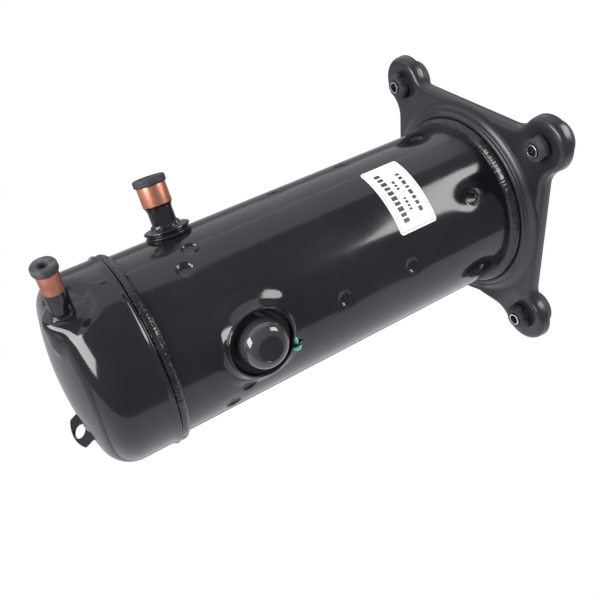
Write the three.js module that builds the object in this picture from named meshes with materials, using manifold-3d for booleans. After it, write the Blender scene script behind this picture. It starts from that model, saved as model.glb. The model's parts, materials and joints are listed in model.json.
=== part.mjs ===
// Hermetic scroll compressor for refrigeration and air conditioning, built as separate pieces.
// Millimetres, +Z up. The origin is on the shell's axis, on the floor that the four feet stand on.
// +Z runs up the shell axis towards the discharge cap; the feet's bolt square lies along X and Y.

import * as THREE from 'three';
import { mergeVertices } from 'three/addons/utils/BufferGeometryUtils.js';
import Module from 'manifold-3d';

const wasm = await Module();
wasm.setup();

// ---------------------------------------------------------------- driving dimensions

const GAP = 0.3;                    // clearance kept between neighbouring pieces

const BOLT_SQUARE = 190.5;          // foot bolts, 7.5 inch square
const FOOT = BOLT_SQUARE / 2;
const PLATE_TOP_Z = 24;
const PLATE_SHEET = 4;
const LIP_DEPTH = 12;
const EDGE_HALF_WIDTH = 102;        // mid edge of the base plate
const EAR_RADIUS = 25.5;
const EAR_CENTRE = 96.5;
const EAR_FILLET = 22;
const FOOT_HOLE_R = 10;

const SHELL_R = 81.8;
const SHELL_WALL = 3;
const SHELL_BORE_R = SHELL_R - SHELL_WALL;
const SHELL_BOTTOM_Z = 21.5;
const SHELL_TOP_Z = 398;

const CAP_R = 84.5;
const CAP_SKIRT_Z = 393;            // lower edge of the top cap
const CAP_TOP_Z = 457;
const CAP_KNUCKLE_R = 37;
const CAP_CROWN = 2;                // rise of the crown above the knuckle
const CAP_WALL = 2.4;

const BOTTOM_SKIRT_Z = 30;          // upper edge of the bottom cap
const BOTTOM_KNUCKLE_R = 13;
const BOTTOM_LOW_Z = 6;
const BOTTOM_CROWN = 2;

const SUCTION_AZIMUTH = 113;
const SUCTION_Z = 329;
const TERMINAL_AZIMUTH = 15;
const TERMINAL_Z = 312.7;
const FENCE_R = 27.3;
const COVER_R = 20;
const HEADER_HOLE_R = 19.1;
const PIN_CIRCLE_R = 7;
const PIN_R = 1.6;
const SOCKET_R = 1.9;
const TAB_X = -15.3;                // the earthing tab, beside and below the terminal
const TAB_HALF_SHEET = 1;
const GROUND_SCREW_Y = -28.4;
const GROUND_SCREW_R = 87.6;        // the screw's distance from the shell axis

const SUCTION_HOLE_R = 11.2;
const DISCHARGE_HOLE_R = 9.3;
const LABEL_AZIMUTHS = [34.5, 84.5];
const LABEL_Z = [116, 156];

const DISCHARGE_BASE = new THREE.Vector3(14.2, 76.5, 439.2);
const DISCHARGE_WAY = new THREE.Vector3(0.055, 0.997, 0.055).normalize();

const LUG_AZIMUTH = -100.5;
const LUG_TILT = 55;                // the lug plate's angle above the horizontal
const LUG_KNUCKLE_ANGLE = 60;       // where on the cap's knuckle it is welded
const LUG_HALF_WIDTH = 17;
const LUG_HOLE_R = 6.6;
const LUG_HOLE_HEIGHT = 8.9;
const LUG_SHEET = 3;
const LUG_STRAIGHT = 11.8;          // straight sides above the cap, then a round end
const LUG_BULGE = 5;
const LUG_ROOT = -8;                // below the cap's surface, before it is trimmed to the cap

const ORBIT_R = 4;                  // eccentricity of the crank pin
const INVOLUTE_R = 2.8;             // base circle of the scroll wraps
const WRAP_WALL = 4.2;
const WRAP_START = 2.4;             // involute angles, in radians
const WRAP_END = 17.2;
const FRAME_PAD_AZIMUTHS = [-20, 77, 160, 257];
const LOWER_PAD_AZIMUTHS = [-20, 40, 100, 160, 220, 280];
const PRESS_GAP = 0.5;              // what is left between the shell's bore and the pieces fixed in it
const SCROLL_BOLT_AZIMUTHS = [28, 118, 208, 298];
const SCROLL_BOLT_CIRCLE_R = 65.5;

const STATOR_BOTTOM_Z = 144;
const STATOR_TOP_Z = 237;
const STATOR_SLOTS = 18;

const FINE = 32;                    // sides of the big round pieces and of the running fits
const ROUND = 20;
const SMALL = 12;

// ---------------------------------------------------------------- materials

function material(color, roughness, metalness) {
  return new THREE.MeshStandardMaterial({ color, roughness, metalness });
}

const BLACK_PAINT = material(0x232327, 0.25, 0.1);
const COPPER = material(0xbe6e5a, 0.35, 1);
const RUBBER = material(0x3c3e42, 0.75, 0);
const ZINC = material(0x9aa2a6, 0.35, 1);
const MINT = material(0x82dcbe, 0.4, 0.3);
const LABEL = material(0xf4f4f2, 0.5, 0);
const CAST_IRON = material(0x55565a, 0.6, 0.8);
const STEEL = material(0xa7abb0, 0.35, 1);
const LAMINATION = material(0x6f7278, 0.5, 0.9);
const ALUMINIUM = material(0xb9bdc2, 0.4, 1);
const BRONZE = material(0xa9854c, 0.4, 1);
const WINDING = material(0xa0502d, 0.45, 0.5);
const DARK_PLASTIC = material(0x1c1c1e, 0.35, 0);
const SEAL_PLASTIC = material(0x8a6d3b, 0.5, 0);

// ---------------------------------------------------------------- solids

const UP = new THREE.Vector3(0, 0, 1);

function radians(degrees) {
  return THREE.MathUtils.degToRad(degrees);
}

// Drops triangles that a lathe leaves with no area on its axis.
function withoutEmptyTriangles(index) {
  const kept = [];
  for (let i = 0; i < index.length; i += 3) {
    const [a, b, c] = [index[i], index[i + 1], index[i + 2]];
    if (a !== b && b !== c && c !== a) kept.push(a, b, c);
  }
  return new Uint32Array(kept);
}

function toSolid(geometry) {
  const bare = geometry.clone();
  bare.deleteAttribute('normal');
  bare.deleteAttribute('uv');
  const merged = mergeVertices(bare, 1e-4);
  return new wasm.Manifold(new wasm.Mesh({
    numProp: 3,
    vertProperties: new Float32Array(merged.attributes.position.array),
    triVerts: withoutEmptyTriangles(merged.index.array),
  }));
}

function toGeometry(solid) {
  const mesh = solid.getMesh();
  const geometry = new THREE.BufferGeometry();
  geometry.setAttribute('position', new THREE.BufferAttribute(mesh.vertProperties, mesh.numProp));
  geometry.setIndex(new THREE.BufferAttribute(mesh.triVerts, 1));
  geometry.computeVertexNormals();
  return geometry;
}

// A solid of revolution about Z. The outline is a list of [radius, z], anticlockwise.
function turned(outline, sides = ROUND) {
  const closed = [...outline, outline[0]].map(([r, z]) => new THREE.Vector2(r, z));
  return toSolid(new THREE.LatheGeometry(closed, sides).rotateX(Math.PI / 2));
}

function disc(radius, z0, z1, sides = ROUND) {
  return turned([[0, z0], [radius, z0], [radius, z1], [0, z1]], sides);
}

function tube(bore, radius, z0, z1, sides = ROUND) {
  return turned([[bore, z0], [radius, z0], [radius, z1], [bore, z1]], sides);
}

function block(x0, x1, y0, y1, z0, z1) {
  const box = new THREE.BoxGeometry(x1 - x0, y1 - y0, z1 - z0);
  return toSolid(box.translate((x0 + x1) / 2, (y0 + y1) / 2, (z0 + z1) / 2));
}

// A flat outline raised from z0 to z1.
function raised(shape, z0, z1, curveSegments = 8) {
  const geometry = new THREE.ExtrudeGeometry(shape, { depth: z1 - z0, bevelEnabled: false, curveSegments });
  return toSolid(geometry.translate(0, 0, z0));
}

function moved(solid, x, y, z) {
  return solid.translate([x, y, z]);
}

function turnedBy(solid, degrees) {
  return solid.rotate([0, 0, degrees]);
}

// A cylinder along any direction, for cutting and joining.
function rod(radius, start, way, length, sides = SMALL) {
  const turn = new THREE.Quaternion().setFromUnitVectors(UP, way);
  const place = new THREE.Matrix4().compose(start, turn, new THREE.Vector3(1, 1, 1));
  return disc(radius, 0, length, sides).transform(place.elements);
}

// Points of an arc in the [radius, z] plane, both ends included.
function arc(centreR, centreZ, radius, fromDegrees, toDegrees, steps) {
  const points = [];
  for (let i = 0; i <= steps; i += 1) {
    const angle = radians(fromDegrees + (toDegrees - fromDegrees) * i / steps);
    points.push([centreR + radius * Math.cos(angle), centreZ + radius * Math.sin(angle)]);
  }
  return points;
}

function outwardAt(azimuth) {
  return new THREE.Vector3(Math.cos(radians(azimuth)), Math.sin(radians(azimuth)), 0);
}

// ---------------------------------------------------------------- scene graph

const compressor = new THREE.Group();
compressor.name = 'compressor';

function add(name, solid, look, parent = compressor) {
  const mesh = new THREE.Mesh(toGeometry(solid), look);
  mesh.name = name;
  parent.add(mesh);
  return mesh;
}

// A group whose local Z points straight out of the shell, with local Y up and X along the wall.
function radialGroup(azimuth, height) {
  const group = new THREE.Group();
  const out = outwardAt(azimuth);
  const along = new THREE.Vector3().crossVectors(UP, out);
  group.setRotationFromMatrix(new THREE.Matrix4().makeBasis(along, UP, out));
  group.position.z = height;
  compressor.add(group);
  return group;
}

// ---------------------------------------------------------------- pressure shell

function buildShell() {
  const terminalAxis = new THREE.Vector3(0, 0, TERMINAL_Z);
  const suctionAxis = new THREE.Vector3(0, 0, SUCTION_Z);
  const terminalHole = rod(HEADER_HOLE_R, terminalAxis, outwardAt(TERMINAL_AZIMUTH), 100, ROUND);
  const suctionHole = rod(SUCTION_HOLE_R, suctionAxis, outwardAt(SUCTION_AZIMUTH), 100);
  const wall = tube(SHELL_BORE_R, SHELL_R, SHELL_BOTTOM_Z, SHELL_TOP_Z, FINE);
  add('shell', wall.subtract(terminalHole).subtract(suctionHole), BLACK_PAINT);
}

// The outline of a cup: a straight skirt, a round knuckle and a slightly domed end.
function cupOutline(radius, wall, skirtZ, endZ, crown, knuckle) {
  const kneeZ = endZ - crown - knuckle;
  const outer = arc(radius - knuckle, kneeZ, knuckle, 0, 90, 4);
  const inner = arc(radius - knuckle, kneeZ, knuckle - wall, 90, 0, 4);
  return [[radius, skirtZ], ...outer, [0, endZ], [0, endZ - wall], ...inner, [radius - wall, skirtZ]];
}

function buildCaps() {
  const holeStart = DISCHARGE_BASE.clone().addScaledVector(DISCHARGE_WAY, -30);
  const dischargeHole = rod(DISCHARGE_HOLE_R, holeStart, DISCHARGE_WAY, 60);
  const top = turned(cupOutline(CAP_R, CAP_WALL, CAP_SKIRT_Z, CAP_TOP_Z, CAP_CROWN, CAP_KNUCKLE_R), FINE);
  add('top_cap', top.subtract(dischargeHole), BLACK_PAINT);

  const depth = BOTTOM_SKIRT_Z - BOTTOM_LOW_Z + BOTTOM_CROWN;
  const cup = turned(cupOutline(CAP_R, CAP_WALL, 0, depth, BOTTOM_CROWN, BOTTOM_KNUCKLE_R), FINE);
  add('bottom_cap', moved(cup.rotate([180, 0, 0]), 0, 0, BOTTOM_SKIRT_Z), BLACK_PAINT);
}

function buildWeldBeads() {
  const inner = SHELL_R + GAP;
  const topBead = [[inner, 384.6], [84.6, 385.6], [85.5, 388.6], [84.6, 392], [inner, 392.7]];
  add('top_weld_bead', turned(topBead, FINE), BLACK_PAINT);
  const baseBead = [[inner, 30.3], [88.6, 30.3], [87.8, 33], [inner, 36.5]];
  add('base_weld_bead', turned(baseBead, FINE), BLACK_PAINT);
}

// ---------------------------------------------------------------- base plate and feet

// The plate's outline: straight edges between four round ears, with hollow fillets beside each ear.
function plateOutline(inset) {
  const edge = EDGE_HALF_WIDTH - inset;
  const ear = EAR_RADIUS - inset;
  const fillet = EAR_FILLET + inset;
  const reach = edge + fillet - EAR_CENTRE;
  const filletY = EAR_CENTRE - Math.sqrt((fillet + ear) ** 2 - reach ** 2);
  const lean = Math.atan2(EAR_CENTRE - filletY, -reach);
  const shape = new THREE.Shape();
  for (let corner = 0; corner < 4; corner += 1) {
    const turn = corner * Math.PI / 2;
    const place = (x, y) => new THREE.Vector2(x, y).rotateAround(new THREE.Vector2(), turn);
    const before = place(edge + fillet, filletY);
    const middle = place(EAR_CENTRE, EAR_CENTRE);
    const after = place(filletY, edge + fillet);
    const earStart = lean - Math.PI;
    shape.absarc(before.x, before.y, fillet, Math.PI + turn, lean + turn, true);
    shape.absarc(middle.x, middle.y, ear, earStart + turn, Math.PI / 2 - earStart + turn, false);
    shape.absarc(after.x, after.y, fillet, -Math.PI / 2 - earStart + turn, -Math.PI / 2 + turn, true);
  }
  return shape;
}

function buildBasePlate() {
  const tray = raised(plateOutline(0), PLATE_TOP_Z - LIP_DEPTH, PLATE_TOP_Z, 4);
  const hollow = raised(plateOutline(PLATE_SHEET), PLATE_TOP_Z - LIP_DEPTH - 1, PLATE_TOP_Z - PLATE_SHEET, 4);
  const collarOutline = [[80, 21], [95, 21], [98, PLATE_TOP_Z], [92, 26], [90, 29.7], [80, 29.7]];
  let plate = tray.subtract(hollow).add(turned(collarOutline, FINE));
  plate = plate.subtract(disc(CAP_R + GAP + 0.3, 0, 60, FINE));
  for (const [x, y] of footPlaces()) {
    plate = plate.subtract(moved(disc(FOOT_HOLE_R, 0, 60, SMALL), x, y, 0));
  }
  add('base_plate', plate, BLACK_PAINT);
}

function footPlaces() {
  return [[1, 1], [-1, 1], [-1, -1], [1, -1]].map(([sx, sy]) => [sx * FOOT, sy * FOOT]);
}

// A rubber foot: a drum under the plate, a neck in the plate's hole and a knob over it.
const GROMMET_OUTLINE = [
  [6.7, 0], [18.5, 0], [20, 3], [20, 16], [18.5, PLATE_TOP_Z - PLATE_SHEET - GAP],
  [9.6, PLATE_TOP_Z - PLATE_SHEET - GAP], [9.6, PLATE_TOP_Z + GAP],
  [13.5, PLATE_TOP_Z + 2], [12.6, 33], [6.7, 34],
];
const SLEEVE_LENGTH = 35;

function buildFeet() {
  footPlaces().forEach(([x, y], i) => {
    const grommet = add(`grommet_${i + 1}`, turned(GROMMET_OUTLINE, SMALL), RUBBER);
    grommet.position.set(x, y, 0);
    const sleeve = add(`sleeve_${i + 1}`, tube(4.5, 6.2, 0, SLEEVE_LENGTH, SMALL), ZINC);
    sleeve.position.set(x, y, 0);
  });
}

// ---------------------------------------------------------------- lifting lug

function buildLug() {
  const knuckleZ = CAP_TOP_Z - CAP_CROWN - CAP_KNUCKLE_R;
  const knuckle = radians(LUG_KNUCKLE_ANGLE);
  const centreR = CAP_R - CAP_KNUCKLE_R + CAP_KNUCKLE_R * Math.cos(knuckle);
  const out = outwardAt(LUG_AZIMUTH);
  const way = out.clone().multiplyScalar(Math.cos(radians(LUG_TILT))).setZ(Math.sin(radians(LUG_TILT)));
  const along = new THREE.Vector3().crossVectors(UP, out);
  const endR = (LUG_HALF_WIDTH ** 2 + LUG_BULGE ** 2) / (2 * LUG_BULGE);
  const endAngle = Math.asin(LUG_HALF_WIDTH / endR);
  const outline = new THREE.Shape();
  outline.moveTo(LUG_HALF_WIDTH, LUG_ROOT);
  const endY = LUG_STRAIGHT + LUG_BULGE - endR;
  outline.absarc(0, endY, endR, Math.PI / 2 - endAngle, Math.PI / 2 + endAngle, false);
  outline.lineTo(-LUG_HALF_WIDTH, LUG_ROOT);
  const basis = new THREE.Matrix4().makeBasis(along, way, new THREE.Vector3().crossVectors(along, way));
  const place = out.clone().multiplyScalar(centreR).setZ(knuckleZ + CAP_KNUCKLE_R * Math.sin(knuckle));
  basis.setPosition(place);
  const eye = moved(disc(LUG_HOLE_R, -LUG_SHEET, LUG_SHEET, SMALL), 0, LUG_HOLE_HEIGHT, 0);
  const plate = raised(outline, -LUG_SHEET / 2, LUG_SHEET / 2, 10).subtract(eye);
  const capBody = turned([
    [0, 300], [CAP_R + GAP, 300], ...arc(CAP_R - CAP_KNUCKLE_R, knuckleZ, CAP_KNUCKLE_R + GAP, 0, 90, 4),
    [0, CAP_TOP_Z + GAP],
  ], FINE);
  add('lifting_lug', plate.transform(basis.elements).subtract(capBody), BLACK_PAINT);
}

// ---------------------------------------------------------------- suction and discharge fittings

// The shell's own space in a radial group, where its axis lies along local Y.
function shellClearance() {
  const radius = SHELL_R + 2 * GAP;
  return toSolid(new THREE.CylinderGeometry(radius, radius, 90, FINE));
}

function buildSuction() {
  const side = radialGroup(SUCTION_AZIMUTH, SUCTION_Z);
  const flange = turned([
    [11.1, 76], [14, 76], [14, 84.4], [19, 84.4], [20, 85.3], [20, 87], [19, 88], [14, 88.3], [11.1, 91],
  ]);
  add('suction_flange', flange.subtract(shellClearance()), BLACK_PAINT, side);
  const pipe = [[8.9, 74], [10.8, 74], [10.8, 105.5], [12.7, 108.4], [10.9, 108.4], [8.9, 105.5]];
  add('suction_tube', turned(pipe, SMALL), BLACK_PAINT, side);
  add('suction_copper_stub', tube(11.15, 12.7, 108.7, 125.7, SMALL), COPPER, side);
  const plug = [
    [4, 110], [10.8, 110], [10.8, 126], [14.25, 126], [14.25, 131.4], [13.6, 132], [8, 132],
    [8, 129.5], [0, 129.5], [0, 126], [4, 126],
  ];
  add('suction_plug', turned(plug, SMALL), RUBBER, side);
}

function buildDischarge() {
  const fitting = new THREE.Group();
  fitting.position.copy(DISCHARGE_BASE);
  fitting.quaternion.setFromUnitVectors(UP, DISCHARGE_WAY);
  compressor.add(fitting);
  const pipe = [[7.2, -16], [9, -16], [9, 22.3], [7.2, 22.3]];
  add('discharge_tube', turned(pipe, SMALL), BLACK_PAINT, fitting);
  add('discharge_copper_stub', tube(7.2, 8.7, 22.6, 40.4, SMALL), COPPER, fitting);
  const plug = [
    [4, 26], [6.9, 26], [6.9, 40.7], [11.45, 40.7], [11.45, 46], [10.9, 46.6], [4, 46.6],
    [4, 42], [0, 42], [0, 38], [4, 38],
  ];
  add('discharge_plug', turned(plug, SMALL), RUBBER, fitting);
}

// ---------------------------------------------------------------- electrical terminal

function buildTerminal() {
  const side = radialGroup(TERMINAL_AZIMUTH, TERMINAL_Z);
  const fence = turned([
    [21, 74], [FENCE_R, 74], [FENCE_R, 90.5], [26.4, 92], [24.6, 92], [24, 91], [23.6, 84.4], [21, 84.4],
  ]).subtract(shellClearance());
  add('terminal_fence', fence, BLACK_PAINT, side);

  const header = turned([
    [0, 74], [18.4, 74], [18.4, 83.4], [16.4, 83.4], [16.4, 76.6], [0, 76.6],
  ], ROUND);
  const pinHoles = pinPlaces().map(([x, y]) => moved(disc(2.1, 60, 100, 12), x, y, 0));
  add('terminal_header', pinHoles.reduce((left, hole) => left.subtract(hole), header), BLACK_PAINT, side);
  pinPlaces().forEach(([x, y], i) => {
    const pin = add(`terminal_pin_${i + 1}`, disc(PIN_R, 66, 87, 12), STEEL, side);
    pin.position.set(x, y, 0);
  });

  const plugBody = raised(roundedTriangle(13, 4), 77.6, 90, 4);
  const clusterBody = block(-12, 12, -10, 10, 60, 73);
  const sockets = pinPlaces().map(([x, y]) => moved(disc(SOCKET_R, 50, 88, 12), x, y, 0));
  const innerSockets = pinPlaces().map(([x, y]) => moved(disc(SOCKET_R, 64, 88, 12), x, y, 0));
  add('terminal_plug_block', sockets.reduce((left, hole) => left.subtract(hole), plugBody), DARK_PLASTIC, side);
  add('motor_cluster_block', innerSockets.reduce((left, hole) => left.subtract(hole), clusterBody),
    DARK_PLASTIC, side);

  const cover = turned([
    [17.6, 84.4], [COVER_R, 84.4], [COVER_R, 93], [18.6, 98], [15.2, 102.2], [10.8, 104],
    [0, 104], [0, 101.5], [10.4, 101.5], [13.9, 100], [16.5, 96.6], [17.6, 92.6],
  ]);
  add('terminal_cover', cover, DARK_PLASTIC, side);

  // The earthing tab stands on edge below the fence, with a thread-cutting screw across it.
  const tabShape = new THREE.Shape();
  tabShape.moveTo(82.9, 23.4);
  tabShape.lineTo(92, 23.4);
  tabShape.lineTo(92, 30.5);
  tabShape.absarc(87.5, 30.5, 4.5, 0, Math.PI / 2, false);
  tabShape.lineTo(84.9, 35);
  tabShape.lineTo(82.9, 33);
  const screwHole = moved(disc(2.4, -5, 5, 12), GROUND_SCREW_R, -GROUND_SCREW_Y, 0);
  const tabPlate = raised(tabShape, -TAB_HALF_SHEET, TAB_HALF_SHEET, 6);
  const tab = add('ground_tab', tabPlate.subtract(screwHole), BLACK_PAINT, side);
  const tabBasis = new THREE.Matrix4().makeBasis(
    new THREE.Vector3(0, 0, 1), new THREE.Vector3(0, -1, 0), new THREE.Vector3(1, 0, 0));
  tab.setRotationFromMatrix(tabBasis);
  tab.position.x = TAB_X;
  const screw = disc(2.1, -1.5, 5.5, 12).add(disc(4.2, -5, -1.4, 6));
  const screwMesh = add('ground_screw', screw, MINT, side);
  screwMesh.rotation.y = Math.PI / 2;
  screwMesh.position.set(TAB_X, GROUND_SCREW_Y, GROUND_SCREW_R);
}

// Three pins on a circle, at the corners of a triangle.
function pinPlaces() {
  const place = (angle) => [PIN_CIRCLE_R * Math.cos(radians(angle)), PIN_CIRCLE_R * Math.sin(radians(angle))];
  return [90, 210, 330].map(place);
}

function roundedTriangle(reach, cornerR) {
  const shape = new THREE.Shape();
  for (const angle of [90, 210, 330]) {
    const corner = radians(angle);
    const x = (reach - cornerR) * Math.cos(corner);
    const y = (reach - cornerR) * Math.sin(corner);
    shape.absarc(x, y, cornerR, corner - Math.PI / 3, corner + Math.PI / 3, false);
  }
  return shape;
}

// ---------------------------------------------------------------- rating label

function buildLabel() {
  const [from, to] = LABEL_AZIMUTHS;
  const steps = 12;
  const outline = new THREE.Shape();
  const edge = (radius, angle) => [radius * Math.cos(radians(angle)), radius * Math.sin(radians(angle))];
  outline.moveTo(...edge(SHELL_R + 0.15, from));
  for (let i = 0; i <= steps; i += 1) outline.lineTo(...edge(SHELL_R + 0.6, from + (to - from) * i / steps));
  for (let i = steps; i > 0; i -= 1) outline.lineTo(...edge(SHELL_R + 0.3, from + (to - from) * i / steps));
  add('rating_label', raised(outline, ...LABEL_Z), LABEL);
}

// ---------------------------------------------------------------- motor

function buildStator() {
  const bore = new THREE.Shape();
  const slotAngle = 360 / STATOR_SLOTS;
  const at = (r, degrees) => [r * Math.cos(radians(degrees)), r * Math.sin(radians(degrees))];
  for (let slot = 0; slot < STATOR_SLOTS; slot += 1) {
    const middle = -slot * slotAngle;
    const corners = [[42, 2], [45, 2], [46.5, 6], [66, 6.4], [66, -6.4], [46.5, -6], [45, -2], [42, -2]];
    corners.forEach(([r, offset], i) => {
      const point = at(r, middle + offset);
      if (slot === 0 && i === 0) bore.moveTo(...point);
      else bore.lineTo(...point);
    });
  }
  const stack = disc(SHELL_BORE_R - PRESS_GAP, STATOR_BOTTOM_Z, STATOR_TOP_Z, FINE);
  add('stator_core', stack.subtract(raised(bore, STATOR_BOTTOM_Z - 1, STATOR_TOP_Z + 1)), LAMINATION);
}

// The winding is one piece: a bar in each slot, joined by the end turns above and below the core.
function buildWinding() {
  const endTurn = (z0, z1) => {
    const middle = (z0 + z1) / 2;
    return turned([[50, z0], [66, z0], [69, middle], [65, z1], [50, z1], [47.2, middle]]);
  };
  const upperEnd = endTurn(STATOR_TOP_Z + 1, STATOR_TOP_Z + 27);
  let winding = upperEnd.add(endTurn(STATOR_BOTTOM_Z - 27, STATOR_BOTTOM_Z - 1));
  const bar = block(47.6, 64.6, -4.3, 4.3, STATOR_BOTTOM_Z - 3, STATOR_TOP_Z + 3);
  for (let slot = 0; slot < STATOR_SLOTS; slot += 1) {
    winding = winding.add(turnedBy(bar, slot * 360 / STATOR_SLOTS));
  }
  add('stator_winding', winding, WINDING);
}

const ROTOR_R = 41.4;
const ROTOR_BARS = 12;
const SHAFT_R = 14;
const LOWER_JOURNAL_R = 12;
const UPPER_JOURNAL_R = 17;
const CRANK_PIN_R = 10;
const DRIVE_BUSH_R = 15;

// The squirrel cage is one casting: bars through the laminated core and a ring at each end.
function buildRotor() {
  let core = tube(SHAFT_R + GAP, ROTOR_R, 142, 239);
  let cage = tube(22, 40, 239.3, 249).add(tube(22, 40, 132, 141.7));
  for (let bar = 0; bar < ROTOR_BARS; bar += 1) {
    const angle = bar * 360 / ROTOR_BARS;
    core = core.subtract(turnedBy(moved(disc(2.8, 130, 250, 8), 36, 0, 0), angle));
    cage = cage.add(turnedBy(moved(disc(2.4, 135, 245, 8), 36, 0, 0), angle));
  }
  add('rotor_core', core, LAMINATION);
  add('rotor_cage', cage, ALUMINIUM);
}

// A counterweight is a half disc clamped round the shaft.
function counterweight(z0, z1, radius, facing) {
  const collar = disc(19, z0, z1, SMALL);
  const weight = disc(radius, z0, z1, ROUND).intersect(block(0, 60, -60, 60, z0 - 1, z1 + 1));
  const body = collar.add(weight).subtract(disc(SHAFT_R + GAP, z0 - 1, z1 + 1, FINE));
  return turnedBy(body, facing);
}

function buildCounterweights() {
  add('upper_counterweight', counterweight(268, 283, 37, 180), CAST_IRON);
  add('lower_counterweight', counterweight(119, 131.7, 36, 0), CAST_IRON);
}

function buildCrankshaft() {
  const shaft = turned([
    [0, 56], [LOWER_JOURNAL_R, 56], [LOWER_JOURNAL_R, 92.6], [18, 92.6], [18, 99], [SHAFT_R, 99],
    [SHAFT_R, 284], [UPPER_JOURNAL_R, 284], [UPPER_JOURNAL_R, 326.2], [0, 326.2],
  ], FINE);
  const pin = moved(disc(CRANK_PIN_R, 325, 344, SMALL), ORBIT_R, 0, 0);
  const oilWay = moved(disc(2.5, 40, 400, 8), 0, 0, 0);
  add('crankshaft', shaft.add(pin).subtract(oilWay), STEEL);
  const bush = tube(CRANK_PIN_R + GAP, DRIVE_BUSH_R, 328.3, 344, FINE);
  add('drive_bush', bush, BRONZE).position.x = ORBIT_R;
  add('oil_pickup', turned([[2.5, 12], [5, 12], [8, 20], [8, 55.7], [5.5, 55.7], [5.5, 21]], 16), ZINC);
}

// ---------------------------------------------------------------- bearings and frames

function sectorPads(azimuths, inner, outer, halfWidth, z0, z1) {
  return azimuths.map((azimuth) => {
    const pad = block(inner, outer + 4, -halfWidth, halfWidth, z0, z1);
    return turnedBy(pad.intersect(disc(outer, z0 - 1, z1 + 1, FINE)), azimuth);
  });
}

function buildMainFrame() {
  let frame = turned([
    [21, 286], [30, 286], [34, 316], [66, 328], [70, 331], [70, 349], [61, 349], [61, 338], [46, 338],
    [46, 346], [34, 346], [34, 323.5], [21, 323.5],
  ]);
  for (const pad of sectorPads(FRAME_PAD_AZIMUTHS, 63, SHELL_BORE_R - PRESS_GAP, 15, 330, 348.5)) {
    frame = frame.add(pad);
  }
  for (const side of [0, 180]) {
    frame = frame.subtract(turnedBy(block(44.5, 60.9, -4.4, 4.4, 332, 340), side));
  }
  for (const azimuth of SCROLL_BOLT_AZIMUTHS) {
    frame = frame.subtract(turnedBy(moved(disc(3.4, 333, 360, 12), SCROLL_BOLT_CIRCLE_R, 0, 0), azimuth));
  }
  add('main_frame', frame, CAST_IRON);
  add('main_bearing', tube(UPPER_JOURNAL_R + GAP, 20.7, 288, 321, FINE), BRONZE);
}

function buildLowerFrame() {
  let frame = turned([[15.4, 60], [22, 60], [24, 68], [60, 68], [60, 74], [24, 74], [22, 90], [15.4, 90]]);
  for (const pad of sectorPads(LOWER_PAD_AZIMUTHS, 55, SHELL_BORE_R - PRESS_GAP, 9, 65, 77)) {
    frame = frame.add(pad);
  }
  for (let i = 0; i < 6; i += 1) {
    frame = frame.subtract(turnedBy(moved(disc(9, 50, 100, 12), 42, 0, 0), 10 + i * 60));
  }
  add('lower_frame', frame, CAST_IRON);
  add('lower_bearing', tube(LOWER_JOURNAL_R + GAP, 15.1, 61, 90, FINE), BRONZE);
  add('thrust_washer', tube(LOWER_JOURNAL_R + GAP, 19, 90.4, 92.3, FINE), BRONZE);
}

// ---------------------------------------------------------------- scroll set

// One flank of an involute wrap. side is +1 on the outer flank and -1 on the inner one.
function involuteFlank(side, count) {
  const points = [];
  const half = side * WRAP_WALL / (2 * INVOLUTE_R);
  for (let i = 0; i <= count; i += 1) {
    const angle = WRAP_START + (WRAP_END - WRAP_START) * i / count;
    const unwound = angle + half;
    const x = INVOLUTE_R * (Math.cos(angle) + unwound * Math.sin(angle));
    const y = INVOLUTE_R * (Math.sin(angle) - unwound * Math.cos(angle));
    points.push(new THREE.Vector2(x, y));
  }
  return points;
}

function wrap(z0, z1) {
  const count = 66;
  const outline = [...involuteFlank(1, count), ...involuteFlank(-1, count).reverse()];
  return raised(new THREE.Shape(outline), z0, z1);
}

function buildFixedScroll() {
  let scroll = turned([
    [4.5, 374], [61, 374], [61, 349.3], [70, 349.3], [70, 386], [42, 386], [42, 379], [24, 379],
    [24, 386], [4.5, 386],
  ]);
  scroll = scroll.add(turnedBy(wrap(354.7, 375), 180));
  for (const azimuth of SCROLL_BOLT_AZIMUTHS) {
    scroll = scroll.subtract(turnedBy(moved(disc(3.4, 340, 400, 12), SCROLL_BOLT_CIRCLE_R, 0, 0), azimuth));
  }
  const inletAzimuth = SUCTION_AZIMUTH - 25;
  scroll = scroll.subtract(turnedBy(block(50, 90, -8, 8, 356, 372), inletAzimuth));
  add('fixed_scroll', scroll, CAST_IRON);

  SCROLL_BOLT_AZIMUTHS.forEach((azimuth, i) => {
    const screw = disc(3, 334, 386.5, 12).add(disc(5.7, 386.3, 391, 6));
    const spot = outwardAt(azimuth).multiplyScalar(SCROLL_BOLT_CIRCLE_R);
    add(`scroll_bolt_${i + 1}`, screw, STEEL).position.copy(spot);
  });
}

function buildOrbitingScroll() {
  const plate = turned([
    [18.2, 327], [22, 327], [22, 346.3], [56, 346.3], [56, 354.3], [0, 354.3], [0, 345], [18.2, 345],
  ]);
  let scroll = plate.add(wrap(353.5, 373.6));
  for (const side of [90, 270]) {
    scroll = scroll.subtract(turnedBy(block(45, 62, -12.6, 12.6, 340, 351.2), side));
  }
  add('orbiting_scroll', scroll, CAST_IRON).position.x = ORBIT_R;
  add('orbiting_bearing', tube(DRIVE_BUSH_R + GAP, 17.9, 328, 344.6, FINE), BRONZE).position.x = ORBIT_R;
}

// The coupling ring slides along X in the frame, and the orbiting scroll slides along Y on it.
function buildOldhamRing() {
  let ring = tube(50.8, 56.4, 338.4, 343.6, ROUND);
  for (const side of [90, 270]) ring = ring.add(turnedBy(block(50.5, 56.5, -4, 4, 343, 350.4), side));
  for (const side of [0, 180]) ring = ring.add(turnedBy(block(49.7, 56.4, -4, 4, 332.5, 339), side));
  add('oldham_ring', ring, ALUMINIUM).position.x = ORBIT_R;
}

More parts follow.
